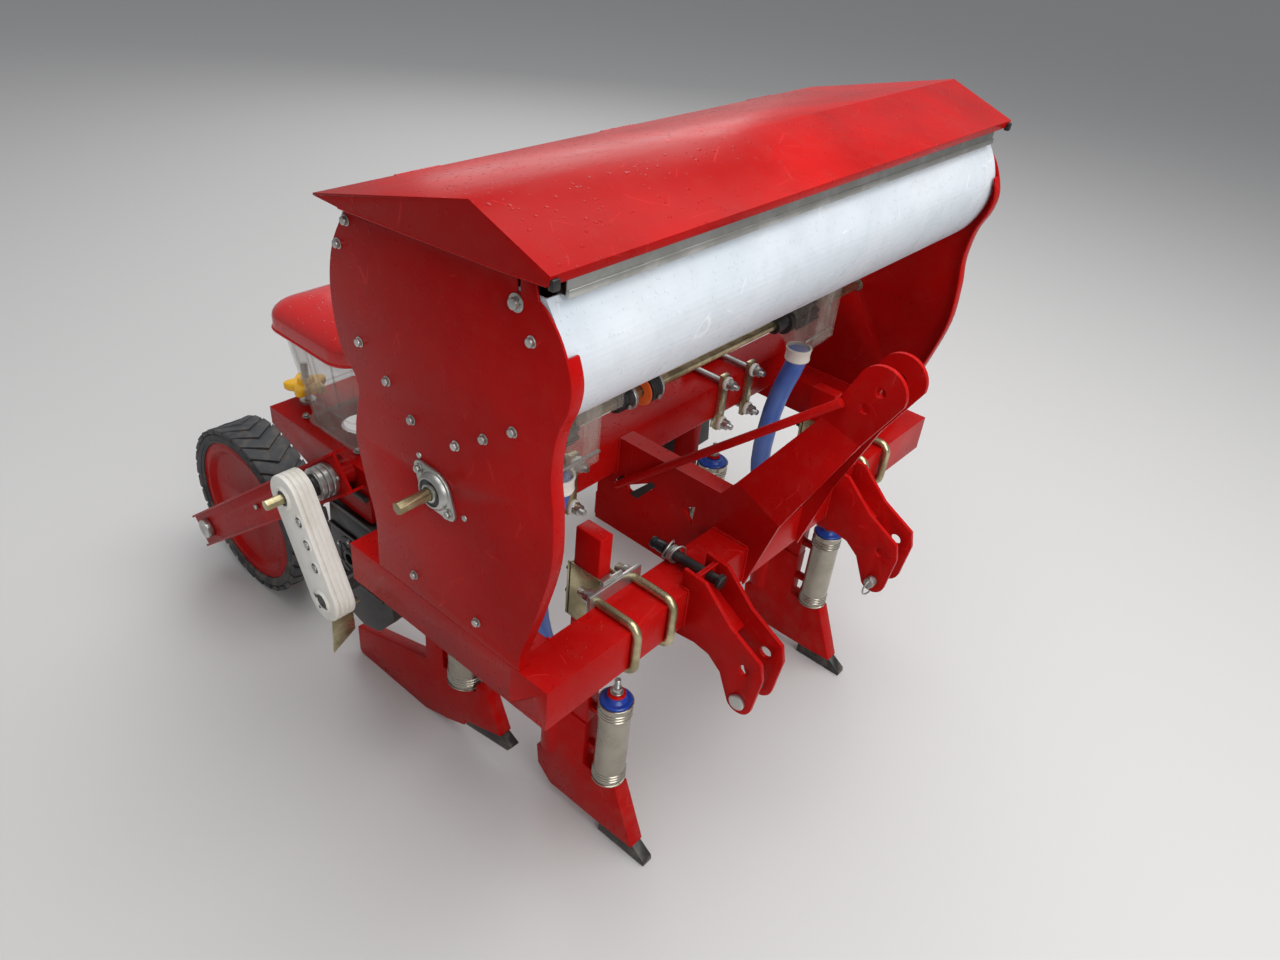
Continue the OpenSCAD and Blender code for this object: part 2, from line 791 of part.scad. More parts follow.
canister_top = -235;
canister_end = canister_top - canister_len;
socket_y = 200;
socket_low = -470;
toe_z = -572;
module fert_boot(side) {
    body = [[shank_y, boot_top], [shank_y, canister_end - seat], [24, canister_end - seat], [-30,
        toe_z + 4],
        [58, toe_z], [190, toe_z], [226, -540], [232, -490], [socket_y, socket_low],
            [shank_y + shank_d, -440],
        [shank_y + shank_d, boot_top]];
    color(paint_red)
        placed()
            on_side(side)
                difference() {
                    union() {
                        side_plate(lifted(body), fert_x - boot_w / 2, boot_w);
                        translate([fert_x, socket_y, frame_z + socket_low])
                            cylinder(h = boot_top - socket_low, d = hose_d + 10, $fn = fine);
                        translate([fert_x - boot_w / 2, shank_y + shank_d, frame_z + socket_low])
                            cube([boot_w, socket_y - shank_y - shank_d, boot_top - socket_low]);
                    }
                    translate([fert_x, socket_y, frame_z - 400])
                        cylinder(h = 80, d = hose_d + 2 * seat, $fn = fine);
                }
}

module fert_points() {
    tip = [[58, toe_z - seat], [58, -frame_z], [-62, -frame_z], [-60, toe_z - 16], [-30,
        toe_z + 4 - seat]];
    color(black_plastic)
        placed()
            for (side = ["right", "left"])
                on_side(side)
                    side_plate(lifted(tip), fert_x - boot_w / 2 + 4, boot_w - 8);
}

// A closed steel cylinder with rolled rings, held by a lug on the shank behind it
bead = 2.2;
function canister_profile(d, len) = concat(
    [[0, 0], [d / 2 - bead, 0]],
    [for (z = [5, 13, 21]) each [[d / 2 - bead, z - 3.5], [d / 2, z - 1], [d / 2, z + 1],
        [d / 2 - bead, z + 3.5]]],
    [for (z = [len - 25, len - 17, len - 9]) each
        [[d / 2 - bead, z - 3.5], [d / 2, z - 1], [d / 2, z + 1], [d / 2 - bead, z + 3.5]]],
    [[d / 2 - bead, len], [0, len]]
);
module canister(x, y, z1, d, len, lug) {
    color(zinc) {
        translate([x, y, z1 - len])
            rotate_extrude($fn = fine)
                polygon(canister_profile(d, len));
        translate([x - 8, y, z1 - 70])
            cube([16, lug, 30]);
    }
}

module fert_canisters() {
    placed()
        for (side = ["right", "left"])
            on_side(side)
                canister(fert_x, canister_y, frame_z + canister_top, canister_d, canister_len,
                    shank_y - canister_y - seat);
}

// Plastic caps on the canisters, each with the bolt that holds it down
cap_rise = 9;
module canister_cap(x, y, z, d, bolt_rise) {
    translate([x, y, z + seat]) {
        cylinder(h = cap_rise, d = d - 2, $fn = fine);
        cylinder(h = cap_rise + 4, d = 0.5 * d, $fn = fine);
        cylinder(h = cap_rise + bolt_rise, d = 12, $fn = 32);
        translate([0, 0, cap_rise + 4])
            cylinder(h = 10, d = 24, $fn = 6);
    }
}

module canister_caps() {
    color(hose_blue)
        placed()
            for (side = ["right", "left"])
                on_side(side) {
                    canister_cap(fert_x, canister_y, frame_z + canister_top, canister_d, 42);
                    canister_cap(seed_x, seed_can_y, frame_z + seed_can_top, seed_can_d, 42);
                }
}

// U-bolt clamps that hold each shank against the back of the front beam
clamp_plate_t = 8;
nut_t = 13;
module ubolt(x) {
    r = ubolt_d / 2;
    leg_end = beam + clamp_plate_t + nut_t + 12;
    for (z = [frame_z + r + seat, beam_z0 - r - seat]) {
        bar_round_y(x, z, ubolt_d, 0, leg_end);
        bar_round_y(x, z, ubolt_d * 1.7, beam + clamp_plate_t, beam + clamp_plate_t + nut_t, 6);
    }
    translate([x, -r - seat, beam_z0])
        cylinder(h = beam, d = ubolt_d, $fn = 32);
    for (k = [0, 1])
        translate([x, 0, k == 0 ? frame_z : beam_z0])
            mirror([0, 0, k])
                rotate([90, 0, -90])
                    rotate_extrude(angle = 90, $fn = fine)
                        translate([r + seat, 0])
                            circle(d = ubolt_d, $fn = 32);
}

module shank_clamps() {
    color(zinc)
        placed()
            for (side = ["right", "left"])
                on_side(side) {
                    for (dx = [-ubolt_pitch / 2, ubolt_pitch / 2])
                        ubolt(fert_x + dx);
                    translate([fert_x - ubolt_pitch / 2 - 18, beam + seat, beam_z0 - 26])
                        cube([ubolt_pitch + 36, clamp_plate_t, beam + 52]);
                    translate([fert_x - shank_w / 2 - 4, beam + clamp_plate_t, beam_z0 - 10])
                        cube([shank_w + 8, shank_y - beam - clamp_plate_t - seat, beam + 30]);
                    for (x = [fert_x - shank_w / 2 - seat - 4, fert_x + shank_w / 2 + seat])
                        translate([x, shank_y - 4, beam_z0 - 10])
                            cube([4, shank_d + 10, beam + 30]);
                    translate([fert_x - shank_w / 2 - 4, shank_y + shank_d + seat, beam_z0 - 10])
                        cube([shank_w + 8, 5, beam + 30]);
                }
}

// Seed unit: a folded pan on a drawbar that is clamped to the rear beam
clamp_mid = 277;
clamp_dx = 48;
clamp_bolt = 13;
bolt_gap = clamp_bolt / 2 + 2;
bar_half = 28;
bar_top = -4;
bar_deep = 40;
opener_y = 475;
opener_d = 55;
module unit_frame(side) {
    skirt = [[pan_y1, pan_z], [pan_y1, pan_z - 38], [764, -22], [700, -60], [pan_y0, -60], [pan_y0,
        pan_z]];
    x0 = seed_x - pan_w / 2;
    color(paint_red)
        placed()
            on_side(side)
                difference() {
                    union() {
                        for (x = [x0, x0 + pan_w - pan_t])
                            side_plate(lifted(skirt), x, pan_t);
                        difference() {
                            translate([x0, pan_y0, frame_z + pan_z - pan_t])
                                cube([pan_w, pan_y1 - pan_y0, pan_t]);
                            translate([seed_x, box_y, frame_z])
                                cylinder(h = 100, d = 80, $fn = fine);
                        }
                        translate([x0, pan_y1 - pan_t, frame_z + pan_z - 38])
                            cube([pan_w, pan_t, 38]);
                        translate([x0, pan_y0, frame_z - 60])
                            cube([pan_w, pan_t, pan_z + 60]);
                        translate([clamp_mid - bar_half, rear_beam_y1 + 6, frame_z + bar_top - bar_deep])
                            cube([2 * bar_half, pan_y0 - rear_beam_y1, bar_deep]);
                        translate([clamp_mid, opener_y + 8, frame_z + bar_top - bar_deep])
                            cube([seed_x - shoe_w / 2 - seat - clamp_mid, opener_d - 16, bar_deep + 60]);
                        translate([clamp_mid - clamp_dx - 22, rear_beam_y1 + seat, frame_z - 50])
                            cube([2 * clamp_dx + 44, 10, beam + 74]);
                        for (s = [-1, 1])
                            bar_x(pivot[0], pivot[1], 46, min(seed_x + s * (pan_w / 2 - 1),
                                seed_x + s * (arm_x - arm_t - seat)),
                                max(seed_x + s * (pan_w / 2 - 1), seed_x + s * (arm_x - arm_t - seat)));
                    }
                    bar_x(pivot[0], pivot[1], shaft_d + 12, x0 - 50, x0 + pan_w + 50);
                    for (dx = [-clamp_dx, clamp_dx])
                        for (z = [rear_z1 + bolt_gap, rear_z0 - bolt_gap])
                            bar_round_y(clamp_mid + dx, z, clamp_bolt + 2 * seat, rear_beam_y1 - 5,
                                rear_beam_y1 + 30);
                }
}

// Long clamp bolts over and under the rear beam, with an upright bar in front
module unit_clamps() {
    color(zinc)
        placed()
            for (side = ["right", "left"])
                on_side(side)
                    for (dx = [-clamp_dx, clamp_dx]) {
                        for (z = [rear_z1 + bolt_gap, rear_z0 - bolt_gap]) {
                            bar_round_y(clamp_mid + dx, z, clamp_bolt, rear_beam_y - 44,
                                rear_beam_y1 + 24);
                            bar_round_y(clamp_mid + dx, z, 24, rear_beam_y - 30, rear_beam_y - 12, 6);
                            bar_round_y(clamp_mid + dx, z, 24, rear_beam_y1 + 10 + 2 * seat,
                                rear_beam_y1 + 20, 6);
                        }
                        translate([clamp_mid + dx - 11, rear_beam_y - 12, rear_z0 - 26])
                            cube([22, 12 - seat, beam + 52]);
                    }
}

// Seed box: a tapered clear body that stands on the pan
function rounded(w, l, r) = concat(
    arc([w / 2 - r, l / 2 - r], r, 0, 90, 6),
    arc([-w / 2 + r, l / 2 - r], r, 90, 180, 6),
    arc([-w / 2 + r, -l / 2 + r], r, 180, 270, 6),
    arc([w / 2 - r, -l / 2 + r], r, 270, 360, 6)
);

module taper(w0, l0, w1, l1, z0, z1, r) {
    hull() {
        translate([0, 0, z0])
            linear_extrude(1)
                polygon(rounded(w0, l0, r));
        translate([0, 0, z1 - 1])
            linear_extrude(1)
                polygon(rounded(w1, l1, r));
    }
}

box_z = frame_z + pan_z;
box_narrow = 60;
seed_skirt = 18;
lid_wall = 4;
seed_hinge = [box_y + seed_lid_l / 2 + 5, box_z + box_h - seed_skirt + 5];
seed_knuckle_d = 9;
seed_knuckle_w = 16;
seed_pin_d = 4;
ear_w = 8;
module seed_box(side) {
    h = [seed_hinge[0] - box_y, seed_hinge[1] - box_z];
    ear = [[h[0] - 4, h[1] - 2], [h[0] - 1, h[1] - 4.4], [h[0] - 1, h[1] - 22], [box_l / 2 - 20,
        h[1] - 36],
        [box_l / 2 - 14, h[1] - 16], [h[0] - 7, h[1] - 13]];
    color(smoky)
        placed()
            on_side(side)
                translate([seed_x, box_y, box_z]) {
                    for (x = [-seed_knuckle_w / 2 - 1 - ear_w, seed_knuckle_w / 2 + 1]) {
                        side_plate(ear, x, ear_w);
                        bar_x(h[0], h[1], seed_knuckle_d, x, x + ear_w);
                    }
                    bar_x(h[0], h[1], seed_pin_d, -seed_knuckle_w, seed_knuckle_w);
                    difference() {
                        taper(box_w - box_narrow, box_l - box_narrow, box_w, box_l, 0, box_h, 24);
                        taper(box_w - box_narrow - 2 * box_wall, box_l - box_narrow - 2 * box_wall,
                            box_w - 2 * box_wall, box_l - 2 * box_wall, box_wall, box_h + 1, 22);
                        translate([0, 0, -1])
                            cylinder(h = 20, d = 70, $fn = fine);
                    }
                }
}

// Pillow-shaped lid of the seed box, hinged at its rear edge
module seed_lid(side) {
    z0 = -seed_skirt;
    h = [seed_hinge[0] - box_y, seed_hinge[1] - box_z - box_h - seat];
    color(paint_red)
        placed()
            on_side(side)
                translate([seed_x, box_y, box_z + box_h + seat])
                    difference() {
                        union() {
                            translate([0, 0, z0])
                                linear_extrude(seed_skirt + 14)
                                    polygon(rounded(seed_lid_w, seed_lid_l, 46));
                            taper(seed_lid_w, seed_lid_l, seed_lid_w - 100, seed_lid_l - 100, 13,
                                seed_lid_h - seed_skirt, 46);
                            bar_x(h[0], h[1], seed_knuckle_d, -seed_knuckle_w / 2, seed_knuckle_w / 2);
                            translate([-seed_knuckle_w / 2, seed_lid_l / 2 - 2, h[1] - 1])
                                cube([seed_knuckle_w, 5, 5]);
                        }
                        bar_x(h[0], h[1], seed_pin_d + 2 * run, -seed_knuckle_w, seed_knuckle_w);
                        translate([0, 0, z0 - 1])
                            linear_extrude(seed_skirt + 1)
                                polygon(rounded(seed_lid_w - 2 * lid_wall, seed_lid_l - 2 * lid_wall,
                                    42));
                    }
}

// Black seed meter under the pan, with the sleeve of its drive shaft
meter_s_y0 = opener_y + opener_d + 8;
meter_s_y1 = box_y - 20;
meter_s_low = -330;
meter_s_w = 128;
meter_cheek = [[507, -262], [524, -66], [690, -66], [700, -180], [690, -300], [650, -334], [610, -343],
    [560, -326]];
cheek_t = 38;
module seed_meter(side) {
    outline = [[meter_s_y0, -80], [pan_y0 + 10, -66], [pan_y0 + 10, 6], [meter_s_y1 - 10, 6],
        [meter_s_y1, -6], [meter_s_y1, -240], [meter_s_y1 - 50, meter_s_low], [meter_s_y0 + 30,
            meter_s_low],
        [meter_s_y0, -290]];
    color(black_plastic)
        placed()
            on_side(side)
                union() {
                    side_plate(lifted(outline), seed_x - meter_s_w / 2, meter_s_w);
                    side_plate(lifted(meter_cheek), seed_x + meter_s_w / 2 - 1, cheek_t + 1);
                    translate([seed_x, box_y - 34, frame_z])
                        cylinder(h = pan_z - pan_t - seat, d = 66, $fn = fine);
                    bar_x(low_shaft[0] + 14, low_shaft[1], 34, seed_x + 20,
                        seed_x + arm_x + case_gap - seat);
                }
}

// Depth screw with its star knob behind each seed box
knob_r = 42;
knob_t = 16;
knob_up = 30;
lobes = 5;
screw_dx = 32;
screw_y = 843;
function star() = [
    for (i = [0 : 39])
        let (a = 360 * i / 40, r = knob_r * (0.84 + 0.16 * cos(lobes * a)))
        [r * cos(a), r * sin(a)]
];

module depth_screws() {
    color(yellow)
        placed()
            for (side = ["right", "left"])
                on_side(side)
                    translate([seed_x + screw_dx, screw_y, box_z + seat]) {
                        cylinder(h = 86, d = 14, $fn = 32);
                        translate([0, 0, knob_up])
                            linear_extrude(knob_t)
                                polygon(star());
                    }
}

// Wheel arms: two folded channels that carry the press wheel between them
module along_arm() {
    translate([0, pivot[0], pivot[1]])
        rotate([arm_angle, 0, 0])
            children();
}

module wheel_arms(side) {
    len = arm_len_pp + arm_over_front + arm_over_rear;
    color(paint_red)
        placed()
            on_side(side)
                translate([seed_x, 0, 0])
                    union() {
                        for (s = [-1, 1])
                            difference() {
                                scale([s, 1, 1])
                                    along_arm()
                                        difference() {
                                            translate([arm_x - arm_flange, -arm_over_front, -arm_h / 2])
                                                cube([arm_flange, len, arm_h]);
                                            translate([arm_x - arm_flange - 1, -arm_over_front - 1,
                                                -arm_h / 2 + arm_t])
                                                cube([arm_flange - arm_t + 1, len + 2,
                                                    arm_h - 2 * arm_t]);
                                        }
                                bar_x(pivot[0], pivot[1], shaft_d + 12, -arm_x - 5, arm_x + 5);
                            }
                        for (s = [-1, 1])
                            for (z = [-arm_h / 2, arm_h / 2 - arm_t])
                                along_arm()
                                    translate([s * (arm_x + (arm_rim - 1) / 2) - (arm_rim + 1) / 2,
                                        -arm_over_front, z])
                                        cube([arm_rim + 1, len, arm_t]);
                        along_arm()
                            translate([-arm_x + arm_t, 300, 0])
                                rotate([0, 90, 0])
                                    cylinder(h = 2 * (arm_x - arm_t), d = 34, $fn = fine);
                        bar_x(axle[0], axle[1], axle_d, -arm_x - 14, arm_x + 14);
                        for (s = [-1, 1])
                            bar_x(axle[0], axle[1], axle_head, s * (arm_x + 5.5) - 5.5,
                                s * (arm_x + 5.5) + 5.5, 6);
                        for (s = [-1, 1])
                            bar_x(axle[0], axle[1], axle_d + 12,
                                min(s * (wheel_w / 2 + 2), s * (arm_x - arm_t)),
                                    max(s * (wheel_w / 2 + 2), s * (arm_x - arm_t)));
                    }
}

// Wheel: slightly dished steel disc with a hub, inside a rubber tyre
hub_r = 34;
dish = 18;
module wheel_disc(side) {
    w = wheel_w / 2;
    half_disc = [[axle_d / 2 + run, w + 1], [hub_r, w + 1], [hub_r + 4, w - dish], [rim_r - 34, w - dish],
        [rim_r - 20, w - 6], [rim_r, w - 6]];
    profile = concat([for (i = [0 : len(half_disc) - 1]) [half_disc[i][0], -half_disc[i][1]]],
        [for (i = [len(half_disc) - 1 : -1 : 0]) half_disc[i]]);
    color(paint_red)
        placed()
            on_side(side)
                translate([seed_x, axle[0], axle[1]])
                    rotate([0, 90, 0])
                        rotate_extrude($fn = fine)
                            polygon(profile);
}

// One V-shaped tread bar, drawn flat across the tyre and stood on its crown
tread_lead = 34;
tread_bar = 32;
module tread(i) {
    w = wheel_w / 2 - 2;
    v = [[-w, tread_lead], [0, 0], [w, tread_lead], [w, tread_lead + tread_bar], [0, tread_bar],
        [-w, tread_lead + tread_bar]];
    rotate([360 * i / tread_n, 0, 0])
        translate([0, -(tread_lead + tread_bar) / 2, wheel_r - tread_h - 6])
            linear_extrude(tread_h + 4.5)
                polygon(v);
}

module wheel_tyre(side) {
    w = wheel_w / 2;
    crown = wheel_r - tread_h;
    profile = [[rim_r + eps, -w + 4], [rim_r + 8, -w], [crown - 10, -w], [crown, -w + 12],
        [crown, w - 12], [crown - 10, w], [rim_r + 8, w], [rim_r + eps, w - 4]];
    color(rubber_black)
        placed()
            on_side(side)
                translate([seed_x, axle[0], axle[1]])
                    intersection() {
                        union() {
                            rotate([0, 90, 0])
                                rotate_extrude($fn = fine)
                                    polygon(profile);
                            for (i = [0 : tread_n - 1])
                                tread(i);
                        }
                        bar_x(0, 0, 2 * wheel_r, -w, w);
                    }
}

// Drive shaft on the arm's pivot: round in its bearing, hexagonal outside
hub_out = 36;
case_gap = 54;
case_t = 40;
module drive_shaft(side) {
    color(gold_zinc)
        placed()
            on_side(side) {
                bar_x(pivot[0], pivot[1], shaft_d, seed_x + 60, seed_x + arm_x + hub_out);
                bar_x(pivot[0], pivot[1], shaft_d, seed_x + arm_x + hub_out - 1,
                    seed_x + arm_x + shaft_tip, 6);
            }
}

// Bearing drum of the drive shaft on the outside of the wheel arm, with three rings
hub_d = 62;
module shaft_hub(side) {
    x0 = seed_x + arm_x + seat;
    step = (hub_out - seat) / 3;
    color(zinc)
        placed()
            on_side(side)
                difference() {
                    union() {
                        bar_x(pivot[0], pivot[1], hub_d - 8, x0, x0 + 3 * step);
                        for (i = [0 : 2])
                            bar_x(pivot[0], pivot[1], hub_d, x0 + i * step + 2, x0 + (i + 1) * step - 2);
                    }
                    bar_x(pivot[0], pivot[1], shaft_d + 2 * run, x0 - 1, x0 + hub_out + 1);
                }
}

// Chain case: a long capsule from the drive shaft down to the seed meter's shaft
low_shaft = [535, frame_z - 150];
case_r = 42;
module chain_case(side) {
    d = low_shaft - pivot;
    a = atan2(d[1], d[0]);
    outline = concat(arc(pivot, case_r, a + 90, a + 270, 20), arc(low_shaft, case_r, a - 90, a + 90, 20));
    x0 = seed_x + arm_x + case_gap;
    color(cream)
        placed()
            on_side(side)
                difference() {
                    union() {
                        side_plate(outline, x0, case_t);
                        bar_x(pivot[0], pivot[1], 44, seed_x + arm_x + hub_out + seat, x0 + 1);
                    }
                    bar_x(pivot[0], pivot[1], shaft_d + 12, x0 - hub_out, x0 + case_t + 1);
                    bar_x(low_shaft[0], low_shaft[1], 24, x0 + case_t - 20, x0 + case_t + 1);
                }
}

// Seed opener: a long shoe with its own shank, point and steel spout
shoe_w = 30;
module seed_opener(side) {
    shoe = [[780, -520], [780, -592], [772, -frame_z], [540, -frame_z], [468, -577], [412, -552], [398,
        -532],
        [298, -494], [340, -402], [371, -400], [376, seed_can_end - seat], [opener_y,
            seed_can_end - seat], [opener_y, 95],
        [opener_y + opener_d, 95], [opener_y + opener_d, -440]];
    color(paint_red)
        placed()
            on_side(side)
                side_plate(lifted(shoe), seed_x - shoe_w / 2, shoe_w);
}

module seed_points() {
    tip = [[412, -552], [282, -526], [270, -508], [298, -494], [398, -532]];
    color(black_plastic)
        placed()
            for (side = ["right", "left"])
                on_side(side)
                    side_plate(lifted(moved(tip, [-seat, -seat])), seed_x - shoe_w / 2 + 4, shoe_w - 8);
}

seed_can_y = 418;
seed_can_top = -240;
seed_can_len = 185;
seed_can_end = seed_can_top - seed_can_len;
seed_can_d = 78;
module seed_canisters() {
    placed()
        for (side = ["right", "left"])
            on_side(side)
                canister(seed_x, seed_can_y, frame_z + seed_can_top, seed_can_d, seed_can_len,
                    opener_y - seed_can_y - seat);
}

front_beam();
side_arm("right");  // side_arm_right
side_arm("left");  // side_arm_left
rear_beam();
mast_plate("right");  // mast_plate_right
mast_plate("left");  // mast_plate_left
mast_brace();
link_ears("right");  // link_ears_right
link_ears("left");  // link_ears_left
link_pins();
spare_pin();
hopper_end("right");  // hopper_end_right
hopper_end("left");  // hopper_end_left
hopper_trough();
hopper_lid();
lid_bar();
lid_hinges();
meter_case("right");  // meter_right
meter_case("left");  // meter_left
meter_rollers();
meter_shaft();
rate_bushes();
shaft_bearings();
hose("right");  // hose_right
hose("left");  // hose_left
fert_shank("right");  // fert_shank_right
fert_shank("left");  // fert_shank_left
fert_boot("right");  // fert_boot_right
fert_boot("left");  // fert_boot_left
fert_points();
fert_canisters();
canister_caps();
shank_clamps();
unit_frame("right");  // unit_frame_right
unit_frame("left");  // unit_frame_left
unit_clamps();
seed_box("right");  // seed_box_right
seed_box("left");  // seed_box_left
seed_lid("right");  // seed_lid_right
seed_lid("left");  // seed_lid_left
seed_meter("right");  // seed_meter_right
seed_meter("left");  // seed_meter_left
depth_screws();
wheel_arms("right");  // wheel_arms_right
wheel_arms("left");  // wheel_arms_left
wheel_disc("right");  // wheel_disc_right
wheel_disc("left");  // wheel_disc_left
wheel_tyre("right");  // wheel_tyre_right
wheel_tyre("left");  // wheel_tyre_left
drive_shaft("right");  // drive_shaft_right
drive_shaft("left");  // drive_shaft_left
shaft_hub("right");  // shaft_hub_right
shaft_hub("left");  // shaft_hub_left
chain_case("right");  // chain_case_right
chain_case("left");  // chain_case_left
seed_opener("right");  // seed_opener_right
seed_opener("left");  // seed_opener_left
seed_points();
seed_canisters();
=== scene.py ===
"""Looks for a two-row mounted seed drill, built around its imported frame.

X runs across the machine, Y from the hitch at the front to the press wheels at the rear, and Z up
from the ground. The machine's right side is at -X. Vectors are in metres. The fields of the
sub-assemblies are in millimetres, and their places count from the middle, from the front beam's
front face and from the frame's top face.
"""

import json
import logging
import math
import random
from collections.abc import Iterator
from contextlib import contextmanager
from dataclasses import dataclass
from enum import Enum
from functools import cache

import bpy
from mathutils import Matrix, Vector


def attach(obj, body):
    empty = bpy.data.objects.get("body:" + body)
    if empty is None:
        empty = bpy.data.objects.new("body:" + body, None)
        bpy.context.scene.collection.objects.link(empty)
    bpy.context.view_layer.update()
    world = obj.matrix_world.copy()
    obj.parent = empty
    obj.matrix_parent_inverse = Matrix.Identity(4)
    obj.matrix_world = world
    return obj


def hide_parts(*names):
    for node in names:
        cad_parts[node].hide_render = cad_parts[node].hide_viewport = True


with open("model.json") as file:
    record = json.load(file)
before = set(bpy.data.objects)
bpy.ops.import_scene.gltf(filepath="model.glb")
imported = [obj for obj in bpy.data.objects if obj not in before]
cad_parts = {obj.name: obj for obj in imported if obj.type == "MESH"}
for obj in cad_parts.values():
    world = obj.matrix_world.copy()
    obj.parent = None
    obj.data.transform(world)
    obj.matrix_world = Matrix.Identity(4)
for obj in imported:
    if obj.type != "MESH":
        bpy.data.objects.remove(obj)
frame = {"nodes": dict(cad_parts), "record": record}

log = logging.getLogger("seed_drill")

Point = tuple[float, float, float]
Pair = tuple[float, float]
Patches = tuple[float, float, float, float]
Outline = tuple[Pair, ...]
Solid = bpy.types.Object
Socket = bpy.types.NodeSocket
Node = bpy.types.Node
Tree = bpy.types.NodeTree
Material = bpy.types.Material

MM = 0.001
BEAM_FRONT = -593.0
BEAM_TOP = 600.0
FINE_MERGE = 0.00001
PACKED_MERGE = 0.00002
FLAT_ANGLE = 0.4
SOFT_ANGLE = 38.0
CREASE = 35.0
UP = Vector((0, 0, 1))
REARWARD = Vector((0, 1, 0))
LEFTWARD = Vector((1, 0, 0))


def at(x: float, y: float, z: float) -> Vector:
    """A place counted from the middle, the front beam's front face and the frame's top face.

    Args:
        x: Distance across from the middle, in millimetres.
        y: Distance behind the front beam's front face.
        z: Height above the frame's top face.

    Returns:
        The place in the machine's frame, in metres.
    """
    return Vector((x, BEAM_FRONT + y, BEAM_TOP + z)) * MM


class Side(Enum):
    """The two sides of the machine, each with its sign along X."""

    RIGHT = -1
    LEFT = 1

    @property
    def word(self) -> str:
        """The side's name as the frame's nodes use it."""
        return self.name.lower()

    @property
    def out(self) -> Vector:
        """The direction from the middle to this side."""
        return Vector((self.value, 0, 0))

    def at(self, x: float, y: float, z: float) -> Vector:
        """The place that at() gives, with X counted outwards to this side."""
        return at(self.value * x, y, z)


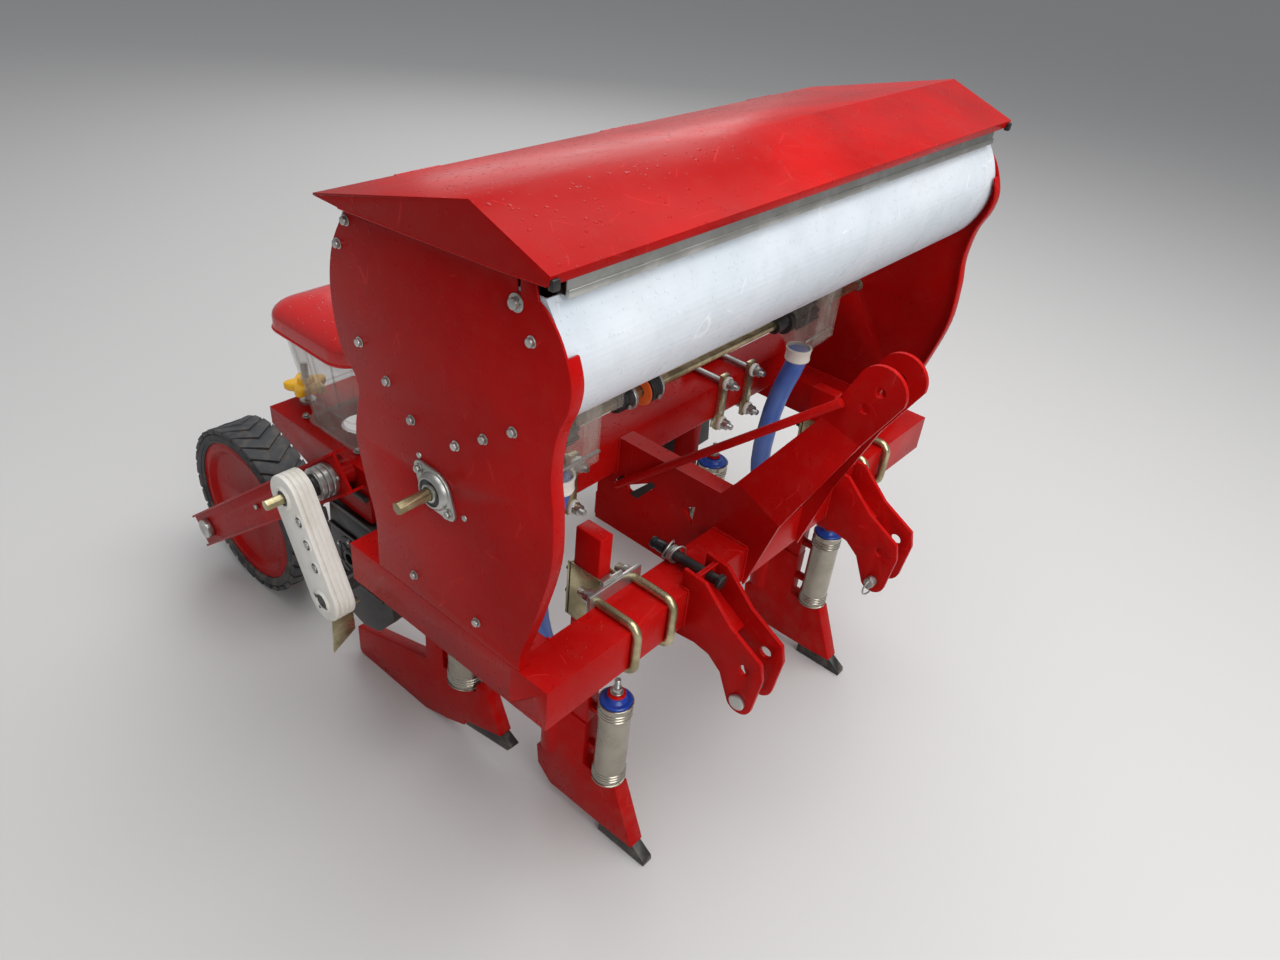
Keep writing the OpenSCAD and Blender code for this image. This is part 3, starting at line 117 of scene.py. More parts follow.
class Make:
    """Modelling moves that every sub-assembly uses."""

    @staticmethod
    def clear() -> None:
        """Leaves nothing selected and object mode on."""
        if bpy.context.mode != "OBJECT":
            bpy.ops.object.mode_set(mode="OBJECT")
        bpy.ops.object.select_all(action="DESELECT")

    @staticmethod
    def only(obj: Solid) -> None:
        """Selects one object and makes it active."""
        Make.clear()
        obj.select_set(True)
        bpy.context.view_layer.objects.active = obj

    @staticmethod
    def fresh(name: str) -> Solid:
        """Names the object that was just added."""
        obj = bpy.context.active_object
        obj.name = name
        return obj

    @staticmethod
    def freeze(obj: Solid) -> Solid:
        """Moves an object's place, turn and size into its mesh."""
        Make.only(obj)
        bpy.ops.object.transform_apply(location=True, rotation=True, scale=True)
        return obj

    @staticmethod
    def apply_all(obj: Solid) -> Solid:
        """Applies every modifier in order."""
        Make.only(obj)
        for modifier in list(obj.modifiers):
            bpy.ops.object.modifier_apply(modifier=modifier.name)
        return obj

    @staticmethod
    @contextmanager
    def editing(obj: Solid) -> Iterator[None]:
        """Opens an object's whole mesh for editing and closes it afterwards."""
        Make.only(obj)
        bpy.ops.object.mode_set(mode="EDIT")
        bpy.ops.mesh.select_all(action="SELECT")
        yield
        bpy.ops.object.mode_set(mode="OBJECT")

    @staticmethod
    def outward(obj: Solid) -> Solid:
        """Merges doubled points and points every face outwards."""
        with Make.editing(obj):
            bpy.ops.mesh.remove_doubles(threshold=FINE_MERGE)
            bpy.ops.mesh.normals_make_consistent(inside=False)
        return obj

    @staticmethod
    def flatten(obj: Solid) -> Solid:
        """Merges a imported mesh's doubled points and its faces that lie in one plane."""
        with Make.editing(obj):
            bpy.ops.mesh.remove_doubles(threshold=PACKED_MERGE)
            bpy.ops.mesh.dissolve_limited(angle_limit=math.radians(FLAT_ANGLE))
        return obj

    @staticmethod
    def bevel(obj: Solid, width: float, segments: int = 2, angle: float = 30) -> Solid:
        """Rounds an object's sharp edges.

        Args:
            obj: The mesh to round.
            width: Width of the bevel, in millimetres.
            segments: Steps across the bevel.
            angle: Smallest angle of an edge that is rounded, in degrees.

        Returns:
            The same object.
        """
        if width > 0:
            modifier = obj.modifiers.new("bevel", "BEVEL")
            modifier.width = width * MM
            modifier.segments = segments
            modifier.limit_method = "ANGLE"
            modifier.angle_limit = math.radians(angle)
            modifier.harden_normals = False
            Make.apply_all(obj)
        return obj

    @staticmethod
    def rod(name: str, a: Vector, b: Vector, radius: float, sides: int = 32, bevel: float = 0.0,
            segments: int = 2) -> Solid:
        """A round or many-sided bar between two places.

        Args:
            name: The object's name.
            a: Where it starts, in metres.
            b: Where it ends, in metres.
            radius: Radius over the corners, in millimetres.
            sides: Number of sides.
            bevel: Width of the bevel on its end edges, in millimetres.
            segments: Steps across the bevel.

        Returns:
            The new object.
        """
        Make.clear()
        run = b - a
        bpy.ops.mesh.primitive_cylinder_add(
            vertices=sides, radius=radius * MM, depth=run.length, location=(a + b) / 2,
            rotation=run.to_track_quat("Z", "Y").to_euler())
        return Make.bevel(Make.freeze(Make.fresh(name)), bevel, segments)

    @staticmethod
    def block(name: str, a: Vector, b: Vector, bevel: float = 0.0) -> Solid:
        """A box with rounded edges.

        Args:
            name: The object's name.
            a: One corner, in metres.
            b: The opposite corner, in metres.
            bevel: Width of the bevel on its edges, in millimetres.

        Returns:
            The new object.
        """
        Make.clear()
        bpy.ops.mesh.primitive_cube_add(size=1, location=(a + b) / 2)
        obj = Make.fresh(name)
        obj.scale = [abs(c) for c in (b - a)]
        return Make.bevel(Make.freeze(obj), bevel)

    @staticmethod
    def outline(name: str, corners: list[Vector] | list[Point], fill: str = "NGON") -> Solid:
        """A flat closed outline.

        Args:
            name: The object's name.
            corners: The places that it passes, in metres.
            fill: How it is filled; "NOTHING" leaves it open.

        Returns:
            The new object.
        """
        Make.clear()
        bpy.ops.mesh.primitive_circle_add(vertices=len(corners), fill_type=fill)
        obj = Make.fresh(name)
        for vertex, corner in zip(obj.data.vertices, corners):
            vertex.co = corner
        return obj

    @staticmethod
    def lathe(name: str, profile: Outline | list[Pair], start: Vector, axis: Vector, steps: int = 48) -> Solid:
        """A turned shape from a closed outline of distances along and from an axis.

        Args:
            name: The object's name.
            profile: Pairs of the distance along the axis and the radius, in millimetres.
            start: The axis's zero point, in metres.
            axis: The axis's direction.
            steps: Steps in a full turn.

        Returns:
            The new object.
        """
        obj = Make.outline(name, [(radius * MM, 0, along * MM) for along, radius in profile], "NOTHING")
        with Make.editing(obj):
            bpy.ops.mesh.spin(steps=steps, angle=2 * math.pi, center=(0, 0, 0), axis=(0, 0, 1))
        Make.outward(obj)
        obj.matrix_world = Matrix.Translation(start) @ axis.to_track_quat("Z", "Y").to_matrix().to_4x4()
        return Make.freeze(obj)

    @staticmethod
    def plate(name: str, corners: list[Vector], depth: Vector, bevel: float = 0.0) -> Solid:
        """A flat outline drawn out into a plate.

        Args:
            name: The object's name.
            corners: The outline's corners in order, in metres.
            depth: How far and which way it is drawn out, in metres.
            bevel: Width of the bevel on its edges, in millimetres.

        Returns:
            The new object.
        """
        obj = Make.outline(name, corners)
        with Make.editing(obj):
            bpy.ops.mesh.extrude_region_move(TRANSFORM_OT_translate={"value": depth})
        return Make.bevel(Make.outward(obj), bevel)

    @staticmethod
    def tiers(name: str, corners: list[Vector], steps: list[tuple[Vector, Point]]) -> Solid:
        """A shape raised in tiers from a flat outline.

        Args:
            name: The object's name.
            corners: The lowest tier's corners in order, in metres.
            steps: For each next tier, how far it moves in metres and its size against the tier before.

        Returns:
            The new object.
        """
        obj = Make.outline(name, corners)
        with Make.editing(obj):
            for move, size in steps:
                bpy.ops.mesh.extrude_region_move(TRANSFORM_OT_translate={"value": move})
                bpy.ops.transform.resize(value=size)
        return Make.outward(obj)

    @staticmethod
    def bead(name: str, a: Vector, b: Vector, radius: float = 2.6, pitch: float = 2.6) -> Solid:
        """A weld bead: a row of overlapping drops along a line.

        Args:
            name: The object's name.
            a: Where the bead starts, in metres.
            b: Where it ends, in metres.
            radius: The bead's half width, in millimetres.
            pitch: Distance between its ripples, in millimetres.

        Returns:
            The new object.
        """
        Make.clear()
        bpy.ops.mesh.primitive_uv_sphere_add(segments=8, ring_count=6, radius=radius * MM, location=a)
        obj = Make.freeze(Make.fresh(name))
        run = b - a
        row = obj.modifiers.new("row", "ARRAY")
        row.count = max(2, round(run.length / (pitch * MM)))
        row.use_relative_offset = False
        row.use_constant_offset = True
        row.constant_offset_displace = run / (row.count - 1)
        return Make.apply_all(obj)

    @staticmethod
    def curve(name: str, route: list[Vector], radius: float, resolution: int) -> Solid:
        """A capped round curve along a route.

        Args:
            name: The object's name.
            route: The places that its middle line passes, in metres.
            radius: The curve's radius, in millimetres.
            resolution: Fineness of its section, which has 4 + 2 * resolution sides.

        Returns:
            The new object.
        """
        data = bpy.data.curves.new(name, "CURVE")
        data.dimensions = "3D"
        data.bevel_depth = radius * MM
        data.bevel_resolution = resolution
        data.use_fill_caps = True
        line = data.splines.new("POLY")
        line.points.add(len(route) - 1)
        for knot, place in zip(line.points, route):
            knot.co = (*place, 1)
        obj = bpy.data.objects.new(name, data)
        bpy.context.collection.objects.link(obj)
        return obj

    @staticmethod
    def pipe(name: str, route: list[Vector], radius: float, resolution: int = 4) -> Solid:
        """A round bar along a route.

        Args:
            name: The object's name.
            route: The places that its middle line passes, in metres.
            radius: The bar's radius, in millimetres.
            resolution: Fineness of its section, which has 4 + 2 * resolution sides.

        Returns:
            The new object.
        """
        Make.only(Make.curve(name, route, radius, resolution))
        bpy.ops.object.convert(target="MESH")
        return Make.outward(Make.fresh(name))

    @staticmethod
    def ring(name: str, middle: Vector, axis: Vector, radius: float, wire: float, steps: int = 32) -> Solid:
        """A round wire ring.

        Args:
            name: The object's name.
            middle: Its middle, in metres.
            axis: The direction of its axis.
            radius: Its radius on the wire's middle line, in millimetres.
            wire: The wire's radius, in millimetres.
            steps: Steps around the ring.

        Returns:
            The new object.
        """
        Make.clear()
        bpy.ops.mesh.primitive_torus_add(
            location=middle, rotation=axis.to_track_quat("Z", "Y").to_euler(), major_radius=radius * MM,
            minor_radius=wire * MM, major_segments=steps, minor_segments=10)
        return Make.freeze(Make.fresh(name))

    @staticmethod
    def cut(obj: Solid, cutter: Solid, kind: str = "DIFFERENCE") -> Solid:
        """Cuts one solid by another, or unites or intersects the two, and removes the second."""
        modifier = obj.modifiers.new("cut", "BOOLEAN")
        modifier.operation = kind
        modifier.solver = "EXACT"
        modifier.object = cutter
        Make.apply_all(obj)
        bpy.data.objects.remove(cutter)
        return obj

    @staticmethod
    def join(name: str, parts: list[Solid]) -> Solid:
        """Joins objects into one mesh."""
        Make.clear()
        for part in parts:
            part.select_set(True)
        bpy.context.view_layer.objects.active = parts[0]
        if len(parts) > 1:
            bpy.ops.object.join()
        obj = Make.fresh(name)
        obj.data.name = name
        return obj

    @staticmethod
    def copy_to(obj: Solid, turn: Matrix) -> Solid:
        """A copy with its own mesh, moved by a matrix."""
        twin = obj.copy()
        twin.data = obj.data.copy()
        bpy.context.collection.objects.link(twin)
        twin.data.transform(turn)
        return twin


def body_of(node: str) -> str:
    """The name of the body that holds a node."""
    groups = frame["record"]["behaviour"]["bodies"]
    return next(name for name, nodes in groups.items() if node in nodes)


def slot_of(node: str) -> str:
    """The name of the material slot that the record gives a node."""
    return next(row["material_slot"] for row in frame["record"]["subparts"] if row["node"] == node)


def shade(colour: Point) -> Point:
    """Turns a colour as seen on a screen, 0 to 255, into the light values that a shader takes."""
    parts = [value / 255 for value in colour]
    return tuple(p / 12.92 if p <= 0.04045 else ((p + 0.055) / 1.055) ** 2.4 for p in parts)


class NodeTools:
    """Short ways to lay out shader nodes."""

    def __init__(self, tree: Tree) -> None:
        """Keeps the tree that the nodes go in."""
        self.tree = tree

    def put(self, socket: Socket, value: object) -> None:
        """Links another socket to an input, or sets the input's own value."""
        if isinstance(value, Socket):
            self.tree.links.new(value, socket)
        else:
            socket.default_value = value

    def add(self, kind: str, inputs: dict[str, object] | None = None, **settings: object) -> Node:
        """Adds a node.

        Args:
            kind: The node's type name.
            inputs: Sockets or values of its inputs, by name.
            **settings: Properties of the node, by name.

        Returns:
            The new node.
        """
        node = self.tree.nodes.new(kind)
        for name, value in settings.items():
            setattr(node, name, value)
        for name, value in (inputs or {}).items():
            self.put(node.inputs[name], value)
        return node

    def math(self, operation: str, *values: object, clamp: bool = False) -> Socket:
        """A Math node.

        Args:
            operation: The Math node's operation.
            *values: Sockets or numbers of its inputs, in order.
            clamp: Whether the result is kept between 0 and 1.

        Returns:
            The result's socket.
        """
        node = self.add("ShaderNodeMath", operation=operation, use_clamp=clamp)
        for socket, value in zip(node.inputs, values):
            self.put(socket, value)
        return node.outputs[0]

    def ramp(self, value: Socket, low: float, high: float) -> Socket:
        """Spreads a value between two limits smoothly over 0 to 1."""
        ends = {"Value": value, "From Min": low, "From Max": high}
        return self.add("ShaderNodeMapRange", ends, interpolation_type="SMOOTHSTEP").outputs["Result"]

    def noise(self, vector: Socket, scale: float | Socket, detail: float) -> Socket:
        """A noise value on a vector."""
        node = self.add("ShaderNodeTexNoise", {"Vector": vector, "Scale": scale, "Detail": detail})
        return node.outputs["Fac"]

    def blend(self, share: Socket, a: object, b: object) -> Socket:
        """Mixes two colours or colour sockets by a share from 0 to 1."""
        node = self.add("ShaderNodeMix", {"Factor": share}, data_type="RGBA")
        for socket, value in zip([s for s in node.inputs if s.type == "RGBA"], (a, b)):
            self.put(socket, value if isinstance(value, Socket) else (*value, 1.0))
        return next(s for s in node.outputs if s.type == "RGBA")


class Groups:
    """Shader groups that several finishes share, each built once."""

    drop_spread, drop_least = 0.32, 0.10
    drop_edge: Pair = (0.02, 0.2)
    dirt_edge: Pair = (0.45, 0.68)
    dirt_low, dirt_all = 0.8, 0.2
    bend_scale, bend = 4.0, (0.2, 0.2, 0.2)
    scratch_width: float = 0.012
    breaks: Patches = (26.0, 2.0, 0.52, 0.62)

    @staticmethod
    def start(name: str, inputs: dict[str, float], outputs: list[str]) -> tuple[NodeTools, object, Node]:
        """Begins a group with a Vector input, number inputs and number outputs.

        Args:
            name: The group's name.
            inputs: Number inputs and their values.
            outputs: Names of the number outputs.

        Returns:
            Tools to fill the group, the sockets that it is given and its output node.
        """
        tree = bpy.data.node_groups.new(name, "ShaderNodeTree")
        tree.interface.new_socket("Vector", in_out="INPUT", socket_type="NodeSocketVector")
        for key, value in inputs.items():
            socket = tree.interface.new_socket(key, in_out="INPUT", socket_type="NodeSocketFloat")
            socket.default_value = value
        for key in outputs:
            tree.interface.new_socket(key, in_out="OUTPUT", socket_type="NodeSocketFloat")
        kit = NodeTools(tree)
        return kit, kit.add("NodeGroupInput").outputs, kit.add("NodeGroupOutput")

    @staticmethod
    @cache
    def drops() -> Tree:
        """Rain drops: a height and a mask, thinned out on faces that don't look up."""
        kit, given, drain = Groups.start(
            "rain_drops", {"Scale": 110.0, "Amount": 0.5, "Uprightness": 0.3}, ["Height", "Mask"])
        cells = kit.add("ShaderNodeTexVoronoi", {"Vector": given["Vector"], "Scale": given["Scale"]},
                        voronoi_dimensions="3D", feature="F1")
        luck = kit.add("ShaderNodeSeparateColor", {"Color": cells.outputs["Color"]})
        kept = kit.math("LESS_THAN", luck.outputs["Green"], given["Amount"])
        radius = kit.math("MULTIPLY_ADD", luck.outputs["Red"], Groups.drop_spread, Groups.drop_least)
        near = kit.math("DIVIDE", cells.outputs["Distance"], radius)
        dome = kit.math("SUBTRACT", 1.0, kit.math("POWER", near, 2.0), clamp=True)
        facing = kit.add("ShaderNodeNewGeometry").outputs["Normal"]
        split = kit.add("ShaderNodeSeparateXYZ", {"Vector": facing})
        up = kit.math("ADD", kit.math("MAXIMUM", split.outputs["Z"], 0.0), given["Uprightness"], clamp=True)
        height = kit.math("MULTIPLY", kit.math("MULTIPLY", kit.math("SQRT", dome), kept), up)
        kit.put(drain.inputs["Height"], height)
        kit.put(drain.inputs["Mask"], kit.ramp(height, *Groups.drop_edge))
        return kit.tree

    @staticmethod
    @cache
    def grime() -> Tree:
        """Dirt and splashes: a mask that grows towards the ground and breaks up in patches."""
        kit, given, drain = Groups.start("ground_grime", {"Top": 0.3, "Amount": 0.5, "Scale": 30.0}, ["Mask"])
        split = kit.add("ShaderNodeSeparateXYZ", {"Vector": given["Vector"]})
        low = kit.math("SUBTRACT", 1.0, kit.math("DIVIDE", split.outputs["Z"], given["Top"]), clamp=True)
        patches = kit.ramp(kit.noise(given["Vector"], given["Scale"], 6.0), *Groups.dirt_edge)
        worn = kit.math("MULTIPLY", patches, given["Amount"])
        share = kit.math("MULTIPLY_ADD", low, Groups.dirt_low, Groups.dirt_all)
        kit.put(drain.inputs["Mask"], kit.math("MULTIPLY", share, worn, clamp=True))
        return kit.tree

    @staticmethod
    @cache
    def scuffs() -> Tree:
        """Fine scratches and handling marks: a mask of thin broken lines."""
        kit, given, drain = Groups.start("scuffs", {"Scale": 9.0, "Amount": 0.5}, ["Mask"])
        bent = kit.add("ShaderNodeTexNoise",
                       {"Vector": given["Vector"], "Scale": Groups.bend_scale, "Detail": 2.0})
        push = kit.add("ShaderNodeVectorMath", operation="MULTIPLY_ADD")
        for socket, value in zip(push.inputs, (bent.outputs["Color"], Groups.bend, given["Vector"])):
            kit.put(socket, value)
        lines = kit.add("ShaderNodeTexVoronoi", {"Vector": push.outputs[0], "Scale": given["Scale"]},
                        feature="DISTANCE_TO_EDGE")
        edge = kit.ramp(lines.outputs["Distance"], 0.0, Groups.scratch_width)
        thin = kit.math("SUBTRACT", 1.0, edge, clamp=True)
        scale, detail, low, high = Groups.breaks
        breaks = kit.ramp(kit.noise(given["Vector"], scale, detail), low, high)
        mask = kit.math("MULTIPLY", kit.math("MULTIPLY", thin, breaks), given["Amount"], clamp=True)
        kit.put(drain.inputs["Mask"], mask)
        return kit.tree


class Shader:
    """A material under construction, with its Principled shader and object coordinates."""

    def __init__(self, name: str) -> None:
        """Starts an empty material of that name."""
        self.material = bpy.data.materials.new(name)
        self.material.use_nodes = True
        self.material.node_tree.nodes.clear()
        self.kit = NodeTools(self.material.node_tree)
        self.skin = self.kit.add("ShaderNodeBsdfPrincipled")
        self.kit.add("ShaderNodeOutputMaterial", {"Surface": self.skin.outputs["BSDF"]})
        self.here = self.kit.add("ShaderNodeTexCoord").outputs["Object"]

    def set(self, **values: object) -> None:
        """Fills the shader's own inputs, by names with spaces written as underscores."""
        for name, value in values.items():
            self.kit.put(self.skin.inputs[name.replace("_", " ")], value)

    def group(self, tree: Tree, **values: float) -> bpy.types.NodeOutputs:
        """Places a shared group, sets its inputs and gives its outputs."""
        return self.kit.add("ShaderNodeGroup", {"Vector": self.here, **values}, node_tree=tree).outputs

    def bump(self, height: Socket, depth: float, under: Socket | None = None) -> Socket:
        """Adds a bump of a depth in millimetres, over another if one is given."""
        inputs = {"Distance": depth * MM, "Strength": 1.0, "Height": height}
        if under is not None:
            inputs["Normal"] = under
        return self.kit.add("ShaderNodeBump", inputs).outputs["Normal"]

    def patches(self, scale: float, detail: float, low: float, high: float) -> Socket:
        """A mask of soft patches of noise between two limits."""
        return self.kit.ramp(self.kit.noise(self.here, scale, detail), low, high)

    def soil(self, body: Socket, soil: Point, top: float, amount: float, scale: float) -> Socket:
        """Lays dirt over a colour and feeds the result to the shader.

        Args:
            body: The clean colour.
            soil: The dirt's colour as seen on a screen.
            top: Height in metres over which the dirt thins out.
            amount: How much of it there is, from 0 to 1.
            scale: Scale of its patches.

        Returns:
            The dirt's mask.
        """
        grime = self.group(Groups.grime(), Top=top, Amount=amount, Scale=scale)["Mask"]
        self.set(Base_Color=self.kit.blend(grime, body, shade(soil)))
        return grime


@dataclass(frozen=True)
class Paint:
    """Gloss powder coat, wet in places, with scuffs and dirt near the ground; colours as on a screen."""

    name: str
    colour: Point
    dark: Point
    roughness: float = 0.3
    drops: float = 0.35
    drop_scale: float = 120.0
    drop_depth: float = 0.9
    dirt_top: float = 0.25
    dirt: float = 0.14
    dirt_colour: Point = (120, 105, 90)
    dirt_scale: float = 34.0
    patches: Patches = (3.5, 4.0, 0.35, 0.7)
    scuff_scale: float = 8.0
    scuffs: float = 0.35
    peel: float = 0.05
    peel_scale: float = 420.0
    coat: float = 0.0
    coat_roughness: float = 0.12
    shine: float = 0.07
    uprightness: float = 0.12
    spread: float = 0.22
    dirt_dulls: float = 0.5
    water_shines: float = 0.18

    def material(self) -> Material:
        """Builds the paint's material."""
        work = Shader(self.name)
        kit, colour = work.kit, shade(self.colour)
        work.set(Coat_Weight=self.coat, Coat_Roughness=self.coat_roughness, Specular_IOR_Level=self.shine)
        body = kit.blend(work.patches(*self.patches), shade(self.dark), colour)
        scuffed = work.group(Groups.scuffs(), Scale=self.scuff_scale, Amount=self.scuffs)["Mask"]
        body = kit.blend(scuffed, body, tuple(min(1.0, c * 1.4 + 0.03) for c in colour))
        grime = work.soil(body, self.dirt_colour, self.dirt_top, self.dirt, self.dirt_scale)
        wet = work.group(Groups.drops(), Scale=self.drop_scale, Amount=self.drops, Uprightness=self.uprightness)
        least = self.roughness - self.spread / 2
        fine = kit.math("MULTIPLY_ADD", kit.noise(work.here, 14.0, 5.0), self.spread, least)
        rough = kit.math("MULTIPLY_ADD", grime, self.dirt_dulls, fine)
        shine = kit.math("MULTIPLY", wet["Mask"], self.water_shines)
        work.set(Roughness=kit.math("SUBTRACT", rough, shine, clamp=True))
        skin = work.bump(kit.noise(work.here, self.peel_scale, 2.0), self.peel)
        work.set(Normal=work.bump(wet["Height"], self.drop_depth, skin))
        return work.material


@dataclass(frozen=True)
class Plated:
    """Bright or yellow zinc plate with a soft grain and dull patches; colours as on a screen."""

    name: str
    colour: Point
    dull: Point
    roughness: float = 0.32
    dirt: float = 0.4
    dirt_top: float = 0.5
    dirt_scale: float = 60.0
    dirt_colour: Point = (110, 98, 84)
    patches: Patches = (22.0, 5.0, 0.38, 0.66)
    patch_shine: float = 0.12
    dull_by: float = 0.08
    grain: float = 0.04
    grain_scale: float = 300.0

    def material(self) -> Material:
        """Builds the plating's material."""
        work = Shader(self.name)
        kit = work.kit
        patches = work.patches(*self.patches)
        body = kit.blend(patches, shade(self.dull), shade(self.colour))
        work.soil(body, self.dirt_colour, self.dirt_top, self.dirt, self.dirt_scale)
        rough = kit.math("MULTIPLY_ADD", patches, -self.patch_shine, self.roughness + self.dull_by)
        work.set(Metallic=0.9, Roughness=rough,
                 Normal=work.bump(kit.noise(work.here, self.grain_scale, 3.0), self.grain))
        return work.material


@dataclass(frozen=True)
class Plastic:
    """Moulded plastic or rubber with a fine grain, faded and dusty in patches; colours as on a screen."""

    name: str
    colour: Point
    faded: Point
    roughness: float = 0.5
    grain: float = 0.06
    grain_scale: float = 500.0
    dirt: float = 0.4
    dirt_top: float = 0.5
    dirt_scale: float = 45.0
    dirt_colour: Point = (128, 114, 98)
    dirt_dulls: float = 0.3
    patches: Patches = (9.0, 5.0, 0.4, 0.68)

    def material(self) -> Material:
        """Builds the plastic's material."""
        work = Shader(self.name)
        kit = work.kit
        body = kit.blend(work.patches(*self.patches), shade(self.colour), shade(self.faded))
        grime = work.soil(body, self.dirt_colour, self.dirt_top, self.dirt, self.dirt_scale)
        work.set(Roughness=kit.math("MULTIPLY_ADD", grime, self.dirt_dulls, self.roughness),
                 Normal=work.bump(kit.noise(work.here, self.grain_scale, 3.0), self.grain))
        return work.material


@dataclass(frozen=True)
class ClearPlastic:
    """Smoky see-through plastic, scratched and a little milky; its colour as on a screen."""

    name: str
    colour: Point
    alpha: float = 0.13
    haze: float = 0.1
    roughness: float = 0.14
    ior: float = 1.45
    patches: Patches = (18.0, 6.0, 0.35, 0.7)
    scuff_scale: float = 16.0
    scuffs: float = 0.8
    scuff_alpha: float = 0.12
    haze_dulls: float = 0.15

    def material(self) -> Material:
        """Builds the clear plastic's material."""
        work = Shader(self.name)
        kit, colour = work.kit, shade(self.colour)
        haze = work.patches(*self.patches)
        scuffed = work.group(Groups.scuffs(), Scale=self.scuff_scale, Amount=self.scuffs)["Mask"]
        alpha = kit.math("MULTIPLY_ADD", haze, self.haze, self.alpha)
        work.set(IOR=self.ior, Base_Color=kit.blend(haze, colour, tuple(min(1.0, c * 1.35) for c in colour)),
                 Alpha=kit.math("MULTIPLY_ADD", scuffed, self.scuff_alpha, alpha, clamp=True),
                 Roughness=kit.math("MULTIPLY_ADD", haze, self.haze_dulls, self.roughness))
        return work.material


FINISHES = (
    Paint("red_paint", (180, 13, 11), (156, 9, 8)),
    Paint("red_lid", (206, 20, 18), (188, 14, 14), 0.2, drops=0.5, coat=0.3, shine=0.5),
    Paint("pale_trough", (214, 219, 224), (196, 204, 211), drops=0.4, dirt=0.25, dirt_top=1.2),
    Plated("zinc", (196, 196, 192), (168, 168, 163)),
    Plated("rolled_steel", (176, 170, 156), (164, 158, 145), 0.2, 0.12),
    Plated("gold_zinc", (198, 188, 150), (150, 140, 106), 0.3),
    ClearPlastic("clear_box", (176, 170, 160)),
    Plastic("orange_disc", (226, 96, 34), (206, 84, 30), 0.4, dirt=0.2),
    Plastic("black_plastic", (20, 20, 21), (34, 33, 33), 0.42, dirt=0.25),
    Plastic("black_steel", (22, 22, 24), (42, 38, 35), 0.34, dirt=0.3),
    Plastic("blue_hose", (60, 96, 176), (88, 122, 194), 0.36, dirt=0.1),
    Plastic("blue_cap", (22, 62, 160), (40, 84, 176), 0.25, dirt=0.15),
    Plastic("yellow_knob", (250, 190, 20), (240, 170, 16), 0.35, dirt=0.1),
    Plastic("cream_case", (232, 229, 221), (216, 212, 200), 0.34, dirt=0.3),
    Plastic("tyre_rubber", (44, 46, 49), (62, 64, 67), 0.62, 0.12, 260.0, dirt=0.6),
)


@dataclass(frozen=True)
class Lamp:
    """A square area lamp: its place, its aim and its side in metres, and its power in watts."""

    name: str
    place: Point
    aim: Point
    size: float
    power: float

    def build(self) -> None:
        """Adds the lamp."""
        data = bpy.data.lights.new(self.name, "AREA")
        data.size = self.size
        data.energy = self.power
        lamp = bpy.data.objects.new(self.name, data)
        bpy.context.collection.objects.link(lamp)
        lamp.location = self.place
        lamp.rotation_euler = (Vector(self.aim) - Vector(self.place)).to_track_quat("-Z", "Y").to_euler()


@dataclass
class Studio:
    """The camera at the photograph's view, the floor and the lamps."""

    camera_place: Point = (-1.3004, -1.2668, 1.6594)
    azimuth: float = 52.298
    elevation: float = -34.476
    roll: float = -6.069
    focal_pixels: float = 964.1
    image_width: float = 1280.0
    sensor: float = 36.0
    floor_size: float = 40.0
    floor_colour: Point = (0.56, 0.55, 0.54)
    floor_roughness: float = 0.85
    sky_colour: Point = (0.92, 0.95, 1.0)
    sky_strength: float = 0.32
    lamps: tuple[Lamp, ...] = (
        Lamp("sky_lamp", (0.5, -0.8, 4.2), (0.0, 0.0, 0.4), 4.5, 200.0),
        Lamp("front_lamp", (-1.4, -4.0, 2.8), (0.0, -0.1, 0.5), 2.6, 85.0),
        Lamp("rear_lamp", (3.0, 3.2, 2.8), (0.0, 0.2, 0.5), 2.6, 40.0),
    )

    def build(self) -> None:
        """Makes the camera, the floor, the world and the lamps."""
        self.add_camera()
        self.add_floor()
        self.add_world()
        for lamp in self.lamps:
            lamp.build()
        bpy.context.scene.view_settings.view_transform = "Standard"
        log.info("studio ready")

    def add_camera(self) -> None:
        """Adds the camera and makes it the scene's."""
        turn, lift, lean = (math.radians(a) for a in (self.azimuth, self.elevation, self.roll))
        ahead = Vector((math.sin(turn) * math.cos(lift), math.cos(turn) * math.cos(lift), math.sin(lift)))
        level = ahead.cross(UP).normalized()
        right = level * math.cos(lean) + ahead.cross(level) * math.sin(lean)
        up = right.cross(ahead)
        data = bpy.data.cameras.new("camera")
        data.sensor_width = self.sensor
        data.lens = self.sensor * self.focal_pixels / self.image_width
        camera = bpy.data.objects.new("camera", data)
        bpy.context.collection.objects.link(camera)
        turned = Matrix((right, up, -ahead)).transposed().to_4x4()
        camera.matrix_world = Matrix.Translation(Vector(self.camera_place)) @ turned
        bpy.context.scene.camera = camera

    def add_floor(self) -> None:
        """Adds the plain pale floor."""
        Make.clear()
        bpy.ops.mesh.primitive_plane_add(size=self.floor_size, location=(0, 0, 0))
        floor = Make.fresh("floor")
        work = Shader("floor_paint")
        work.set(Base_Color=(*self.floor_colour, 1.0), Roughness=self.floor_roughness)
        floor.data.materials.append(work.material)

    def add_world(self) -> None:
        """Adds a soft pale surrounding light."""
        world = bpy.data.worlds.new("surround")
        world.use_nodes = True
        back = world.node_tree.nodes["Background"]
        back.inputs["Color"].default_value = (*self.sky_colour, 1.0)
        back.inputs["Strength"].default_value = self.sky_strength
        bpy.context.scene.world = world


